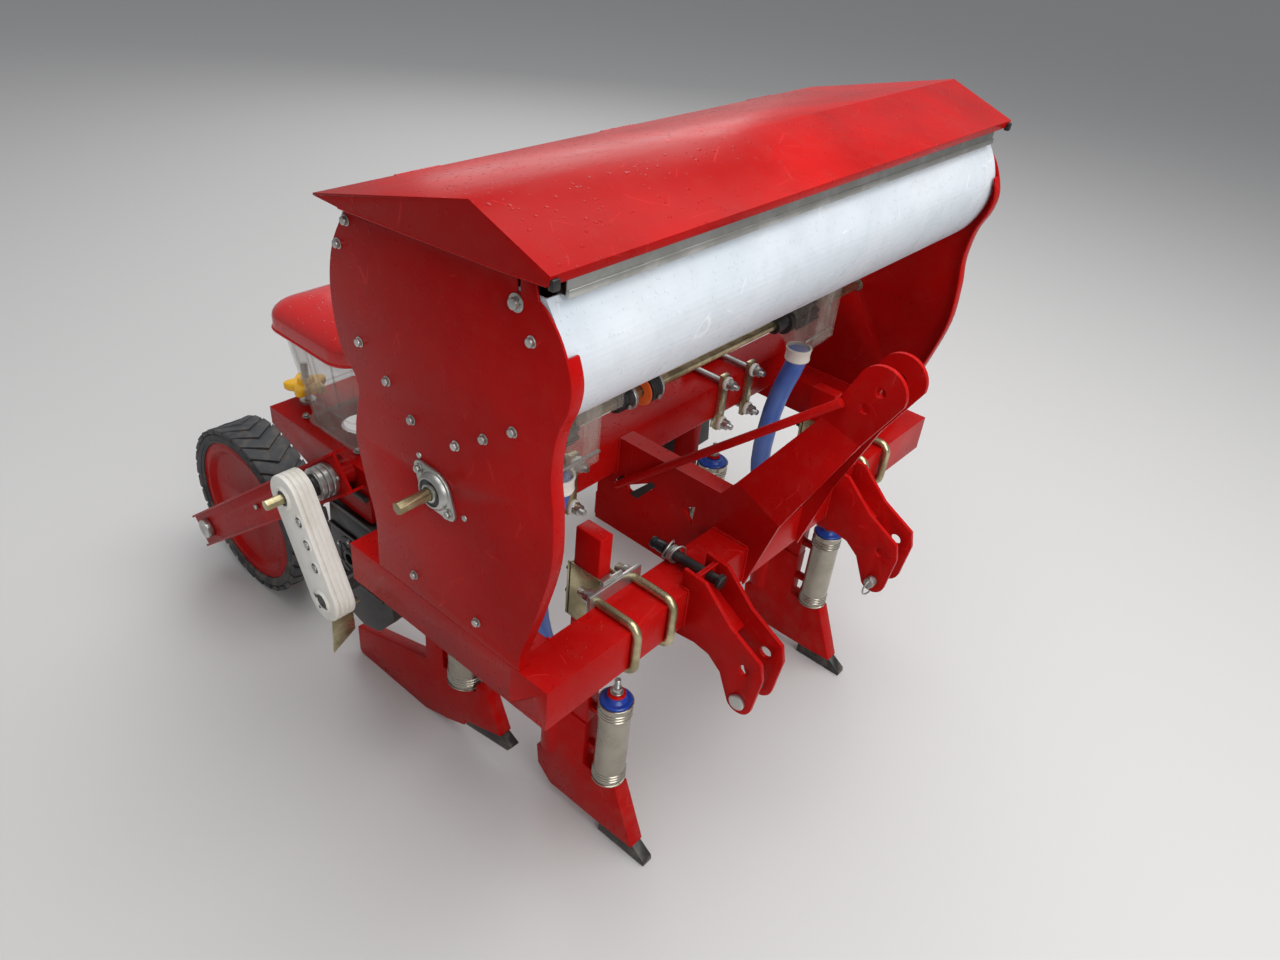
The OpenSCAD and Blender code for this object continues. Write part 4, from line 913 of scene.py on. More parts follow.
@dataclass(frozen=True)
class Fastener:
    """A hex bolt head or nut with its washer and a stub of thread, pointing along Z."""

    flats: float
    height: float
    washer: float = 0.0
    washer_height: float = 1.8
    thread: float = 0.0
    thread_radius: float = 4.0
    pitch: float = 2.0
    crown: float = 0.53
    root: float = 0.88
    tip: float = 0.85

    def template(self) -> Solid:
        """Models one fastener at the origin."""
        parts = []
        low = UP * (self.washer_height * MM)
        top = UP * (self.washer_height * MM + self.height * MM)
        if self.washer > 0:
            parts.append(Make.rod("washer", Vector(), low, self.washer, 24, 0.4, 1))
        head = Make.rod("head", low, top, self.flats / math.sqrt(3), 6)
        crown = Make.rod("crown", low, top, self.flats * self.crown, 32, 1.4)
        parts.append(Make.cut(head, crown, "INTERSECT"))
        if self.thread > 0:
            turns = max(2, round(self.thread / self.pitch))
            root, crest = (0.0, self.thread_radius * self.root), (self.thread / turns / 2, self.thread_radius)
            teeth = [(0.0, 0.0), *threads(turns, self.thread / turns, root, crest),
                     (self.thread, self.thread_radius * self.tip), (self.thread, 0.0)]
            parts.append(Make.lathe("thread", teeth, top - UP * 0.0005, UP, 16))
        return Make.join("fastener", parts)

    def scatter(self, name: str, spots: list[tuple[Vector, Vector]], seed: int = 3) -> Solid:
        """Sets a copy at each place, facing each direction, and joins them.

        Args:
            name: The joined object's name.
            spots: Places in metres, each with the direction that the head faces.
            seed: Seed of the small differences in turn.

        Returns:
            The joined object.
        """
        luck = random.Random(seed)
        pattern = self.template()
        copies = []
        for place, facing in spots:
            spin = Matrix.Rotation(luck.uniform(0, math.pi / 3), 4, "Z")
            turn = facing.to_track_quat("Z", "Y").to_matrix().to_4x4()
            copies.append(Make.copy_to(pattern, Matrix.Translation(place) @ turn @ spin))
        bpy.data.objects.remove(pattern)
        return Make.join(name, copies)


def threads(turns: int, pitch: float, root: Pair, crest: Pair) -> list[Pair]:
    """A thread's outline: pairs of the distance along and the radius, for each turn's root and crest."""
    return [(pitch * turn + along, radius) for turn in range(turns) for along, radius in (root, crest)]


def rounded(width: float, length: float, corner: float, steps: int = 10) -> list[Pair]:
    """A rectangle with round corners as pairs across and along, in millimetres."""
    points: list[Pair] = []
    for number, (sx, sy) in enumerate(((1, 1), (-1, 1), (-1, -1), (1, -1))):
        for step in range(steps + 1):
            turn = math.radians(90 * (number + step / steps))
            points.append((sx * (width / 2 - corner) + corner * math.cos(turn),
                           sy * (length / 2 - corner) + corner * math.sin(turn)))
    return points


@dataclass
class Assembly:
    """A sub-assembly: it keeps the materials, and joins, finishes and attaches its pieces."""

    finishes: dict[str, Material]

    def piece(self, name: str, parts: list[Solid], finish: str, body: str = "chassis", crease: float = CREASE,
              slot: str | None = None, nodes: tuple[str, ...] = ()) -> None:
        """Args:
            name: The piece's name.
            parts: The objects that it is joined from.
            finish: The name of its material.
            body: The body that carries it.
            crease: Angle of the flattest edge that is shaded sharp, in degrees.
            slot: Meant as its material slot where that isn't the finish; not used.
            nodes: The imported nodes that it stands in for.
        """
        obj = Make.join(name, parts)
        obj.data.materials.clear()
        obj.data.materials.append(self.finishes[finish])
        bpy.ops.object.shade_smooth_by_angle(angle=math.radians(crease))
        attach(obj, body)
        slot = finish if slot is None else slot
        if nodes:
            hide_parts(*nodes)
        log.info("piece %s: %d faces on %s", name, len(obj.data.polygons), body)

    def bolts(self, name: str, kind: Fastener, spots: list[tuple[Vector, Vector]], finish: str = "zinc",
              seed: int = 3) -> None:
        """Adds a piece that holds one fastener at each place.

        Args:
            name: The piece's name.
            kind: The fastener.
            spots: Places in metres, each with the direction that the head faces.
            finish: The name of the fasteners' material.
            seed: Seed of the small differences in turn.
        """
        self.piece(name, [kind.scatter(name, spots, seed)], finish)


@dataclass
class HopperEnds(Assembly):
    """Screws and nuts on the hopper's two end plates."""

    face: float = 594.0
    sheet: float = 4.0
    screws: Outline = ((287, 333), (192, 336), (135, 374), (80, 411), (339, 373), (398, 411), (430, 547),
                       (407, 586), (51, 548), (301, 39), (153, 38))
    nuts: int = 6
    washered: Pair = (77, 588)
    screw: Fastener = Fastener(11.5, 5.0, 8.0, 1.4)
    nut: Fastener = Fastener(11.5, 5.5, thread=7, thread_radius=3.2)
    big: Fastener = Fastener(14, 6.5, 12, 2.2)

    def build(self) -> None:
        """Adds the screws on both sides, and nuts behind those that show them."""
        for side in Side:
            word, out, inner = side.word, side.out, self.face - self.sheet
            self.bolts(f"end_screws_{word}", self.screw, [(side.at(self.face, *p), out) for p in self.screws])
            self.bolts(f"end_nuts_{word}", self.nut,
                       [(side.at(inner, *p), -out) for p in self.screws[:self.nuts]], seed=5)
            self.bolts(f"end_bolt_{word}", self.big, [(side.at(self.face, *self.washered), out)])


@dataclass
class Hoses(Assembly):
    """The two blue hoses from the metering housings to the sockets behind the boots."""

    diameter: float = 43.4
    x: float = 358.0
    route: Outline = (
        (222, 160), (222, 135), (229, 105), (240, 70), (250, 30), (257, -10), (262, -60), (265, -105),
        (264, -145), (258, -182), (247, -215), (232, -246), (216, -274), (204, -299), (200, -322),
        (200, -345), (200, -395))

    def build(self) -> None:
        for side in Side:
            points = [side.at(self.x, y, z) for y, z in self.route]
            obj = Make.curve(f"feed_hose_{side.word}", points, self.diameter / 2, 8)
            obj.data.materials.append(self.finishes["blue_hose"])
            node = f"hose_{side.word}"
            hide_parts(node)
            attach(obj, body_of(node))
            length = sum((b - a).length for a, b in zip(points, points[1:]))
            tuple(points[0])
            log.info("hose %s: %.3f m", side.word, length)


@dataclass
class FrameWelds(Assembly):
    """Weld beads along the frame's joints, as rows of places from the middle outwards."""

    radius: float = 2.6
    lines: tuple[tuple[Point, Point], ...] = (
        ((95, 2, 1), (95, 78, 1)), ((85, 2, 1), (85, 78, 1)), ((95, -1, -4), (95, -1, -76)),
        ((265, 1, 1), (265, 15, 1)), ((265, -1, -4), (265, -1, -76)), ((193, -1, -4), (193, -1, -76)),
        ((193, 1, 1), (193, 15, 1)), ((202, -9, 30), (256, -9, 30)),
        ((516, 317, 1), (588, 317, 1)), ((516, 399, 1), (588, 399, 1)), ((513, 320, 1), (513, 396, 1)),
        ((513, 81, 1), (513, 81, -76)), ((589, 66, 1), (589, 316, 1)),
        ((250, 406, -5), (304, 406, -5)), ((249, 410, -6), (249, 410, -42)), ((305, 410, -6), (305, 410, -42)),
        ((380, 474, 52), (380, 474, 94)), ((341, 134, -331), (341, 162, -331)),
        ((342, 110, -331), (374, 110, -331)))
    rail: tuple[tuple[Point, Point], ...] = (
        ((95, 317, 4), (95, 317, 76)), ((95, 320, -1), (95, 362, -1)), ((85, 317, 4), (85, 317, 76)))

    def build(self) -> None:
        """Lays the beads on both sides, with those of the rail on the right, and joins them."""
        beads = []
        for side in Side:
            lines = self.lines + (self.rail if side is Side.RIGHT else ())
            beads += [Make.bead("bead", side.at(*a), side.at(*b), self.radius) for a, b in lines]
        self.piece("frame_welds", beads, "red_paint", crease=60)


@dataclass
class Hitch(Assembly):
    """Pins, clips, washers and the bolt end on the mast and the lower-link brackets."""

    link_x: float = 229.0
    link_half: float = 35.0
    link_y: float = -132.0
    pin_z: float = -164.0
    pin_head: Outline = ((0, 0), (0.2, 15), (4.5, 15.4), (6.4, 13.6), (6.8, 9), (6.2, 0))
    clip_gap: float = 9.0
    clip_drop: float = 12.0
    clip: Pair = (17, 1.8)
    clip_half: float = 16.0
    clip_pin: float = 3.4
    clip_wire: float = 1.9
    spare: Point = (-224, 64, 17)
    band: Outline = ((0, 10), (0, 14.5), (2, 15.6), (9, 15.6), (11, 14.5), (11, 10))
    grip: Outline = ((0, 0), (0, 8), (2, 11), (16, 11), (18, 9.8), (24, 9.8), (26, 11), (30, 11), (32, 9.7),
                     (34, 0))
    bolt_place: Point = (-94, 296, -6)
    bolt: Fastener = Fastener(19, 11, thread=12, thread_radius=6)
    # Outline of the painted shade in the mast plate's slot, as places along and heights.
    slot: Outline = ((281, -30), (262, -34), (219, 18), (230, 24))

    def build(self) -> None:
        """Adds every piece of the hitch."""
        parts = []
        for side in Side:
            middle = side.at(self.link_x + self.link_half, self.link_y, self.pin_z)
            parts.append(Make.lathe("pin_head", self.pin_head, middle + side.out * 0.0004, side.out, 40))
            tail = side.at(self.link_x - self.link_half - self.clip_gap, self.link_y, self.pin_z)
            rise = UP * (self.clip_half * MM)
            parts.append(Make.ring("clip", tail - UP * (self.clip_drop * MM), Vector((0.2, 1, 0)), *self.clip))
            parts.append(Make.rod("clip_pin", tail - rise, tail + rise, self.clip_pin, 16, 0.8))
        self.piece("link_pin_trim", parts, "zinc")
        self.spare_pin()
        self.mast_bolt()

    def spare_pin(self) -> None:
        """Adds the ring clip and the grooved grip of the stowed spare pin."""
        x, y, z = self.spare
        self.piece("spare_pin_clip", [
            Make.lathe("clip_band", self.band, at(x, y, z), REARWARD, 40),
            Make.ring("clip_wire", at(x, y - 4, z + 3), Vector((0.25, 1, 0.1)), 17, self.clip_wire),
            Make.ring("clip_wire_2", at(x + 2, y + 18, z + 2), Vector((-0.2, 1, 0.3)), 16.5, self.clip_wire),
        ], "zinc")
        self.piece("spare_pin_grip", [Make.lathe("spare_pin_grip", self.grip, at(x, y + 20, z), REARWARD, 40)],
                   "black_steel")

    def mast_bolt(self) -> None:
        """Adds a thin black plate as painted shade in the slot, and the black bolt end, on the right mast
        plate's outer face.
        """
        out, (x, y, z) = Side.RIGHT.out, self.bolt_place
        bolt = self.bolt.scatter("mast_bolt", [(at(x, y, z), out)])
        # A thin black plate as painted shade in the slot's opening.
        slot = Make.plate("mast_slot", [at(x - 0.2, *place) for place in self.slot], out * 0.0005)
        self.piece("mast_bolt_end", [bolt, slot], "black_steel")


@dataclass
class ShankClamps(Assembly):
    """U-bolts with their nuts and washers, clamp plates and straps that hold the fertiliser shanks."""

    x: float = 358.0
    pitch: float = 90.0
    rod: float = 16.0
    beam: float = 80.0
    plate: float = 8.0
    corner: float = 12.0
    gap: float = 0.3
    reach: float = 30.0
    margin: float = 18.0
    nut: Fastener = Fastener(24, 13, 15, 2.6, 16, 8.2)
    strap_bolt: Fastener = Fastener(17, 9, 11, thread=10, thread_radius=5)
    strap_heights: Pair = (-10, -60)
    strap_y: float = 170.0
    straps: tuple[tuple[Pair, Pair, Pair], ...] = (
        ((-19.6, -15.6), (100, 174), (-92, 24)), ((15.6, 19.6), (100, 174), (-92, 24)),
        ((-19.6, 19.6), (164.4, 170), (-92, 24)))

    def build(self) -> None:
        """Adds both clamps."""
        for side in Side:
            self.u_bolts(side)
            self.plates(side)

    def u_bolts(self, side: Side) -> None:
        """Models the two U-bolts with round corners and threaded ends."""
        r = self.rod / 2
        top, low, face = r + self.gap, -self.beam - r - self.gap, -r - self.gap
        bend, end = self.corner + r, self.beam + self.plate + self.reach
        arc = [math.radians(15 * step) for step in range(1, 7)]
        line = [(end, top), (face + bend, top)]
        line += [(face + bend - bend * math.sin(a), top - bend + bend * math.cos(a)) for a in arc]
        line += [(face, low + bend)]
        line += [(face + bend - bend * math.cos(a), low + bend - bend * math.sin(a)) for a in arc]
        line += [(end, low)]
        pieces, nuts = [], []
        for x in (self.x - self.pitch / 2, self.x + self.pitch / 2):
            pieces.append(Make.pipe(f"u_bolt_{side.word}", [side.at(x, y, z) for y, z in line], r))
            nuts += [(side.at(x, self.beam + self.plate + 0.2, z), REARWARD) for z in (top, low)]
        self.piece(f"u_bolts_{side.word}", pieces, "gold_zinc")
        self.bolts(f"u_bolt_nuts_{side.word}", self.nut, nuts)

    def plates(self, side: Side) -> None:
        """Models the clamp plate, its saddle and the strap that wraps the shank."""
        def box(xs: Pair, ys: Pair, zs: Pair) -> Solid:
            """A bevelled block between distances from the shank's middle, places along and heights."""
            return Make.block("box", *(side.at(self.x + x, y, z) for x, y, z in zip(xs, ys, zs)), 1.4)

        half, back = self.pitch / 2 + self.margin, self.beam + self.plate
        plate = box((-half, half), (self.beam + self.gap, back + self.gap), (-106, 26))
        saddle = box((-19, 19), (back, 107.7), (-90, 20))
        lip = box((-24, 24), (back, back + 6), (8, 30))
        self.piece(f"clamp_plates_{side.word}", [plate, saddle, lip], "zinc", nodes=("shank_clamps",))
        self.piece(f"shank_strap_{side.word}", [box(*strap) for strap in self.straps], "gold_zinc")
        spots = [(side.at(self.x, self.strap_y, z), REARWARD) for z in self.strap_heights]
        self.bolts(f"strap_bolts_{side.word}", self.strap_bolt, spots, "black_steel")


@dataclass(frozen=True)
class Can:
    """One canister's place from the middle, its top, its width and length, and how far its lugs reach back."""

    x: float
    y: float
    top: float
    width: float
    length: float
    reach: float


@dataclass
class Canisters(Assembly):
    """Rolled steel cylinders in front of the openers, with blue caps, a red ring and a standing bolt."""

    rows: tuple[Can, ...] = (Can(358, 56, -235, 66, 205, 108), Can(397, 418, -240, 78, 185, 475))
    ring: Outline = ((13, 9), (13, 15.4), (15, 17), (18, 17), (20, 15), (20, 9))
    bolt_rise: float = 20.2
    bolt: Fastener = Fastener(17, 9, 12.5, thread=20, thread_radius=5.6)
    lug_half: float = 8.0
    lug_height: float = 12.0
    lug_drops: Pair = (52, 150)

    def build(self) -> None:
        """Adds the four canisters."""
        steel, caps, rings, bolts, lugs = [], [], [], [], []
        for side in Side:
            for can in self.rows:
                r = can.width / 2
                foot, head = side.at(can.x, can.y, can.top - can.length), side.at(can.x, can.y, can.top)
                steel.append(Make.lathe("can", self.wall(r, can.length), foot, UP, 64))
                caps.append(Make.lathe("cap", self.cap(r), head, UP, 64))
                rings.append(Make.lathe("red_ring", self.ring, head, UP, 40))
                bolts.append((head + UP * self.bolt_rise * MM, UP))
        self.piece("canister_walls", steel, "rolled_steel", crease=25, slot="zinc",
                   nodes=("fert_canisters", "seed_canisters"))
        self.piece("canister_lids", caps, "blue_cap", crease=25, nodes=("canister_caps",))
        self.piece("canister_rings", rings, "red_paint")
        self.bolts("canister_bolts", self.bolt, bolts)
        for side in Side:
            for can in self.rows:
                for top in (can.top - drop for drop in self.lug_drops):
                    lugs.append(Make.block(
                        "lug", side.at(can.x - self.lug_half, can.y + can.width / 2 - 4, top - self.lug_height),
                        side.at(can.x + self.lug_half, can.reach, top), 1.2))
        self.piece("canister_lugs", lugs, "red_paint")

    @staticmethod
    def cap(radius: float) -> Outline:
        """The cap's outline: a rim around a raised middle."""
        return ((-1.5, 0), (-1.5, radius - 3.4), (2.4, radius - 3.2), (4.0, radius - 5), (4.4, radius - 12),
                (9, radius - 17), (13.4, radius - 18), (13.4, 0))

    @staticmethod
    def wall(radius: float, length: float) -> list[Pair]:
        """The wall's outline with three rolled rings at each end and rims."""
        skin = radius - 2.2
        line: list[Pair] = [(0, 0), (0, radius - 1), (1, radius), (3, radius), (4, skin)]
        for middle in (12, 19, 26, length - 31, length - 24, length - 17):
            line += [(middle + along, skin + rise)
                     for along, rise in ((-3, 0), (-1.6, 1.4), (0, 1.9), (1.6, 1.4), (3, 0))]
        line += [(length - 4, skin), (length - 3, radius), (length - 0.6, radius), (length, radius - 1),
                 (length, radius - 2.6), (length - 2, radius - 3.2), (length - 2, 0)]
        return line


@dataclass
class BearingTrim(Assembly):
    """Flanged bearings on the metering shaft: plate, collar, dark seal and bolts; and the plugs beside them."""

    shaft: Pair = (237.0, 239.0)
    wall: float = 594.0
    lobe: Pair = (32.0, 24.0)
    middle: float = 35.0
    end: float = 12.0
    flange: float = 5.5
    hub: Outline = ((4, 12), (4, 31), (8, 29.6), (12, 27), (14, 24), (14, 22), (11, 21.4), (11, 15),
                    (15.6, 14.6), (16.4, 13.6), (16.4, 11))
    seal: Outline = ((8, 9.6), (8, 21.4), (12.2, 21.2), (12.2, 14.8), (9.5, 14.4), (9.5, 9.6))
    plug: Outline = ((0, 0), (0, 5), (1.6, 4.6), (2.4, 3.2), (2.4, 0))
    plugs: Outline = ((177, 221), (274, 280))
    bolt: Fastener = Fastener(11, 5, 8, thread=2, thread_radius=3.4)

    def build(self) -> None:
        """Adds the bearings on both end plates."""
        y, z = self.shaft
        for side in Side:
            word, out, middle = side.word, side.out, side.at(self.wall, y, z)
            corners = [side.at(self.wall, y + a, z + b) for a, b in self.rhombus()]
            flange = Make.plate("flange", corners, out * (self.flange * MM), 1.2)
            hub = Make.lathe("hub", self.hub, middle, out)
            self.piece(f"bearing_{word}", [flange, hub], "zinc", crease=30, nodes=("shaft_bearings",))
            self.piece(f"seal_{word}", [Make.lathe("seal", self.seal, middle, out, 40)], "black_plastic")
            heads = [Make.lathe("plug", self.plug, side.at(self.wall, *place), out, 20) for place in self.plugs]
            self.piece(f"plugs_{word}", heads, "zinc")
            a, b = self.lobe
            self.bolts(f"bearing_bolts_{word}", self.bolt, [
                (side.at(self.wall + self.flange, y + k * a, z + k * b), out) for k in (-1, 1)])

    def rhombus(self) -> list[Pair]:
        """The flange's outline: a round middle drawn straight out to two small round ends."""
        span = math.hypot(*self.lobe)
        lean = math.atan2(self.lobe[1], self.lobe[0])
        touch = math.acos((self.middle - self.end) / span)
        arcs = [(0.0, self.middle, touch, math.pi - touch), (-span, self.end, math.pi - touch, math.pi + touch),
                (0.0, self.middle, math.pi + touch, 2 * math.pi - touch), (span, self.end, -touch, touch)]
        points = []
        for shift, radius, start, stop in arcs:
            for step in range(9):
                turn = start + (stop - start) * step / 8
                along, across = shift + radius * math.cos(turn), radius * math.sin(turn)
                points.append((along * math.cos(lean) - across * math.sin(lean),
                               along * math.sin(lean) + across * math.cos(lean)))
        return points


@dataclass
class SeedHopper(Assembly):
    """A seed unit's pillow-shaped lid, its clear box's ribs and the depth screw with its star knob."""

    x: float = 397.0
    y: float = 710.0
    pan: float = 52.0
    height: float = 213.0
    lid: Pair = (220.0, 240.0)
    corner: float = 46.0
    skirt: float = 18.0
    wall: float = 4.0
    crown: Outline = ((0, 0), (26, 0), (32, 1.4), (38, 4.6), (44, 10), (49.5, 18), (54.5, 29), (58.5, 43),
                      (61.5, 60), (63, 80))
    inside: Outline = ((0, 0), (19, 0), (19.5, 14), (40, 24), (52, 50))
    box: Pair = (190.0, 214.0)
    narrow: float = 60.0
    rib: float = 1.7
    bands: tuple[Point, ...] = ((0, 62, 23), (1, -22, 24))
    foot: Point = (146, 170, 24)
    hole: Point = (126, 150, 22)
    box_screws: Pair = (70, 82)
    box_screw: Fastener = Fastener(10, 4.5, 7.5, 1.2)
    screw: Pair = (429.0, 843.0)
    collar: Outline = ((0, 7), (0, 16), (6, 16), (7.5, 14.5), (7.5, 7))
    knob: Pair = (42.0, 16.0)
    knob_rise: float = 30.0
    knob_waves: int = 5
    knob_wave: float = 0.16
    knob_steps: int = 80
    knob_hub: Outline = ((26, 7), (26, 15), (30, 17), (50, 16), (54, 13), (54, 7))

    def build(self) -> None:
        """Adds the pieces of both units."""
        for side in Side:
            self.cover(side)
            self.ribs(side)
            self.depth_screw(side)

    def loop(
        self, side: Side, z: float, width: float, length: float, corner: float, steps: int = 10
    ) -> list[Vector]:
        """A level rectangle with round corners around the box's middle.

        Args:
            side: The side of the machine.
            z: Its height.
            width: Its size across the machine.
            length: Its size along the machine.
            corner: The radius of its corners.
            steps: Steps in each corner.

        Returns:
            Its places in metres.
        """
        x = side.value * self.x
        return [at(x + a, self.y + b, z) for a, b in rounded(width, length, corner, steps)]

    def pillow(self, name: str, side: Side, foot: float, inset: float, crown: Outline) -> Solid:
        """A pillow: an outline with round corners raised in tiers that draw in towards the top.

        Args:
            name: The object's name.
            side: The machine's side.
            foot: Height of its lowest edge.
            inset: How far it stays inside the lid's outline.
            crown: Pairs of the height over the lowest edge and how far the pillow draws in there.

        Returns:
            The new object.
        """
        width, length = self.lid[0] - 2 * inset, self.lid[1] - 2 * inset
        steps = []
        for (z0, in0), (z1, in1) in zip(crown, crown[1:]):
            size = ((width - 2 * in1) / (width - 2 * in0), (length - 2 * in1) / (length - 2 * in0), 1.0)
            steps.append((Vector((0, 0, (z1 - z0) * MM)), size))
        return Make.tiers(name, self.loop(side, foot, width, length, self.corner - inset), steps)

    def cover(self, side: Side) -> None:
        """Models the lid with its hollow underside, its rim bead and its hinge knuckle."""
        foot = self.pan + self.height + 0.3 - self.skirt
        shell = Make.cut(self.pillow("pillow", side, foot, 0.0, self.crown),
                         self.pillow("hollow", side, foot - 1, self.wall, self.inside))
        rim = self.loop(side, foot + 3, self.lid[0] + 1, self.lid[1] + 1, self.corner + 0.5)
        bead = Make.pipe("rim_bead", [*rim, rim[0]], 2.2, 1)
        x, y, z = side.value * self.x, self.y + self.lid[1] / 2 + 5, foot + 5
        knuckle = Make.rod("knuckle", at(x - 8, y, z), at(x + 8, y, z), 4.5, 24, 0.5)
        web = Make.block("knuckle_web", at(x - 8, y - 8, z - 1), at(x + 8, y - 1, z + 4.4), 0.6)
        node = f"seed_lid_{side.word}"
        self.piece(f"seed_cover_{side.word}", [shell, bead, knuckle, web], "red_lid", body_of(node), 32,
                   nodes=(node,))

    def ribs(self, side: Side) -> None:
        """Models the box's moulded ribs, its bands, its foot flange and the flange's screws."""
        x, low, top = side.value * self.x, self.pan, self.pan + self.height
        levels = [((self.box[0] - self.narrow) / 2, (self.box[1] - self.narrow) / 2, low + 4),
                  (self.box[0] / 2, self.box[1] / 2, top - 16)]
        pieces = []
        for k in (-1, 1):
            for share in (-0.55, 0.0, 0.55):
                flank = [at(x + k * (w + 0.4), self.y + share * l, z) for w, l, z in levels]
                face = [at(x + share * w, self.y + k * (l + 0.4), z) for w, l, z in levels]
                pieces += [Make.rod("rib", *ends, self.rib, 8) for ends in (flank, face)]
        for end, rise, corner in self.bands:
            z = (low, top)[end] + rise
            less = self.narrow * (1 - (z - low) / self.height)
            loop = self.loop(side, z, self.box[0] - less + 1, self.box[1] - less + 1, corner, 6)
            pieces.append(Make.pipe("band", [*loop, loop[0]], 1.8, 1))
        flange = Make.plate("foot", self.loop(side, low + 0.3, *self.foot, 6), UP * 0.004, 1.0)
        hole = Make.plate("foot_hole", self.loop(side, low - 2, *self.hole, 6), UP * 0.01)
        pieces.append(Make.cut(flange, hole))
        self.piece(f"box_ribs_{side.word}", pieces, "clear_box")
        a, b = self.box_screws
        spots = [(at(x + i * a, self.y + j * b, low + 4.3), UP) for i in (-1, 1) for j in (-1, 1)]
        self.bolts(f"box_screws_{side.word}", self.box_screw, spots)

    def depth_screw(self, side: Side) -> None:
        """Models the threaded screw, its collar and the star knob."""
        radius, thick = self.knob
        foot = side.at(*self.screw, self.pan + 0.3)
        teeth = [(0, 0), (0, 7), *threads(28, 3, (0.8, 5.9), (2.3, 7.0)), (85, 6.2), (86, 5), (86, 0)]
        self.piece(f"depth_thread_{side.word}", [
            Make.lathe("screw", teeth, foot, UP, 24), Make.lathe("collar", self.collar, foot, UP, 40)], "zinc")
        star = []
        for index in range(self.knob_steps):
            turn = 2 * math.pi * index / self.knob_steps
            reach = radius * (1 - self.knob_wave + self.knob_wave * math.cos(self.knob_waves * turn))
            star.append(foot + Vector((reach * math.cos(turn), reach * math.sin(turn), self.knob_rise)) * MM)
        head = Make.bevel(Make.plate("star", star, UP * (thick * MM)), 4.5, 4, 40)
        hub = Make.lathe("star_hub", self.knob_hub, foot, UP, 40)
        self.piece(f"depth_knob_{side.word}", [head, hub], "yellow_knob", crease=40, nodes=("depth_screws",))


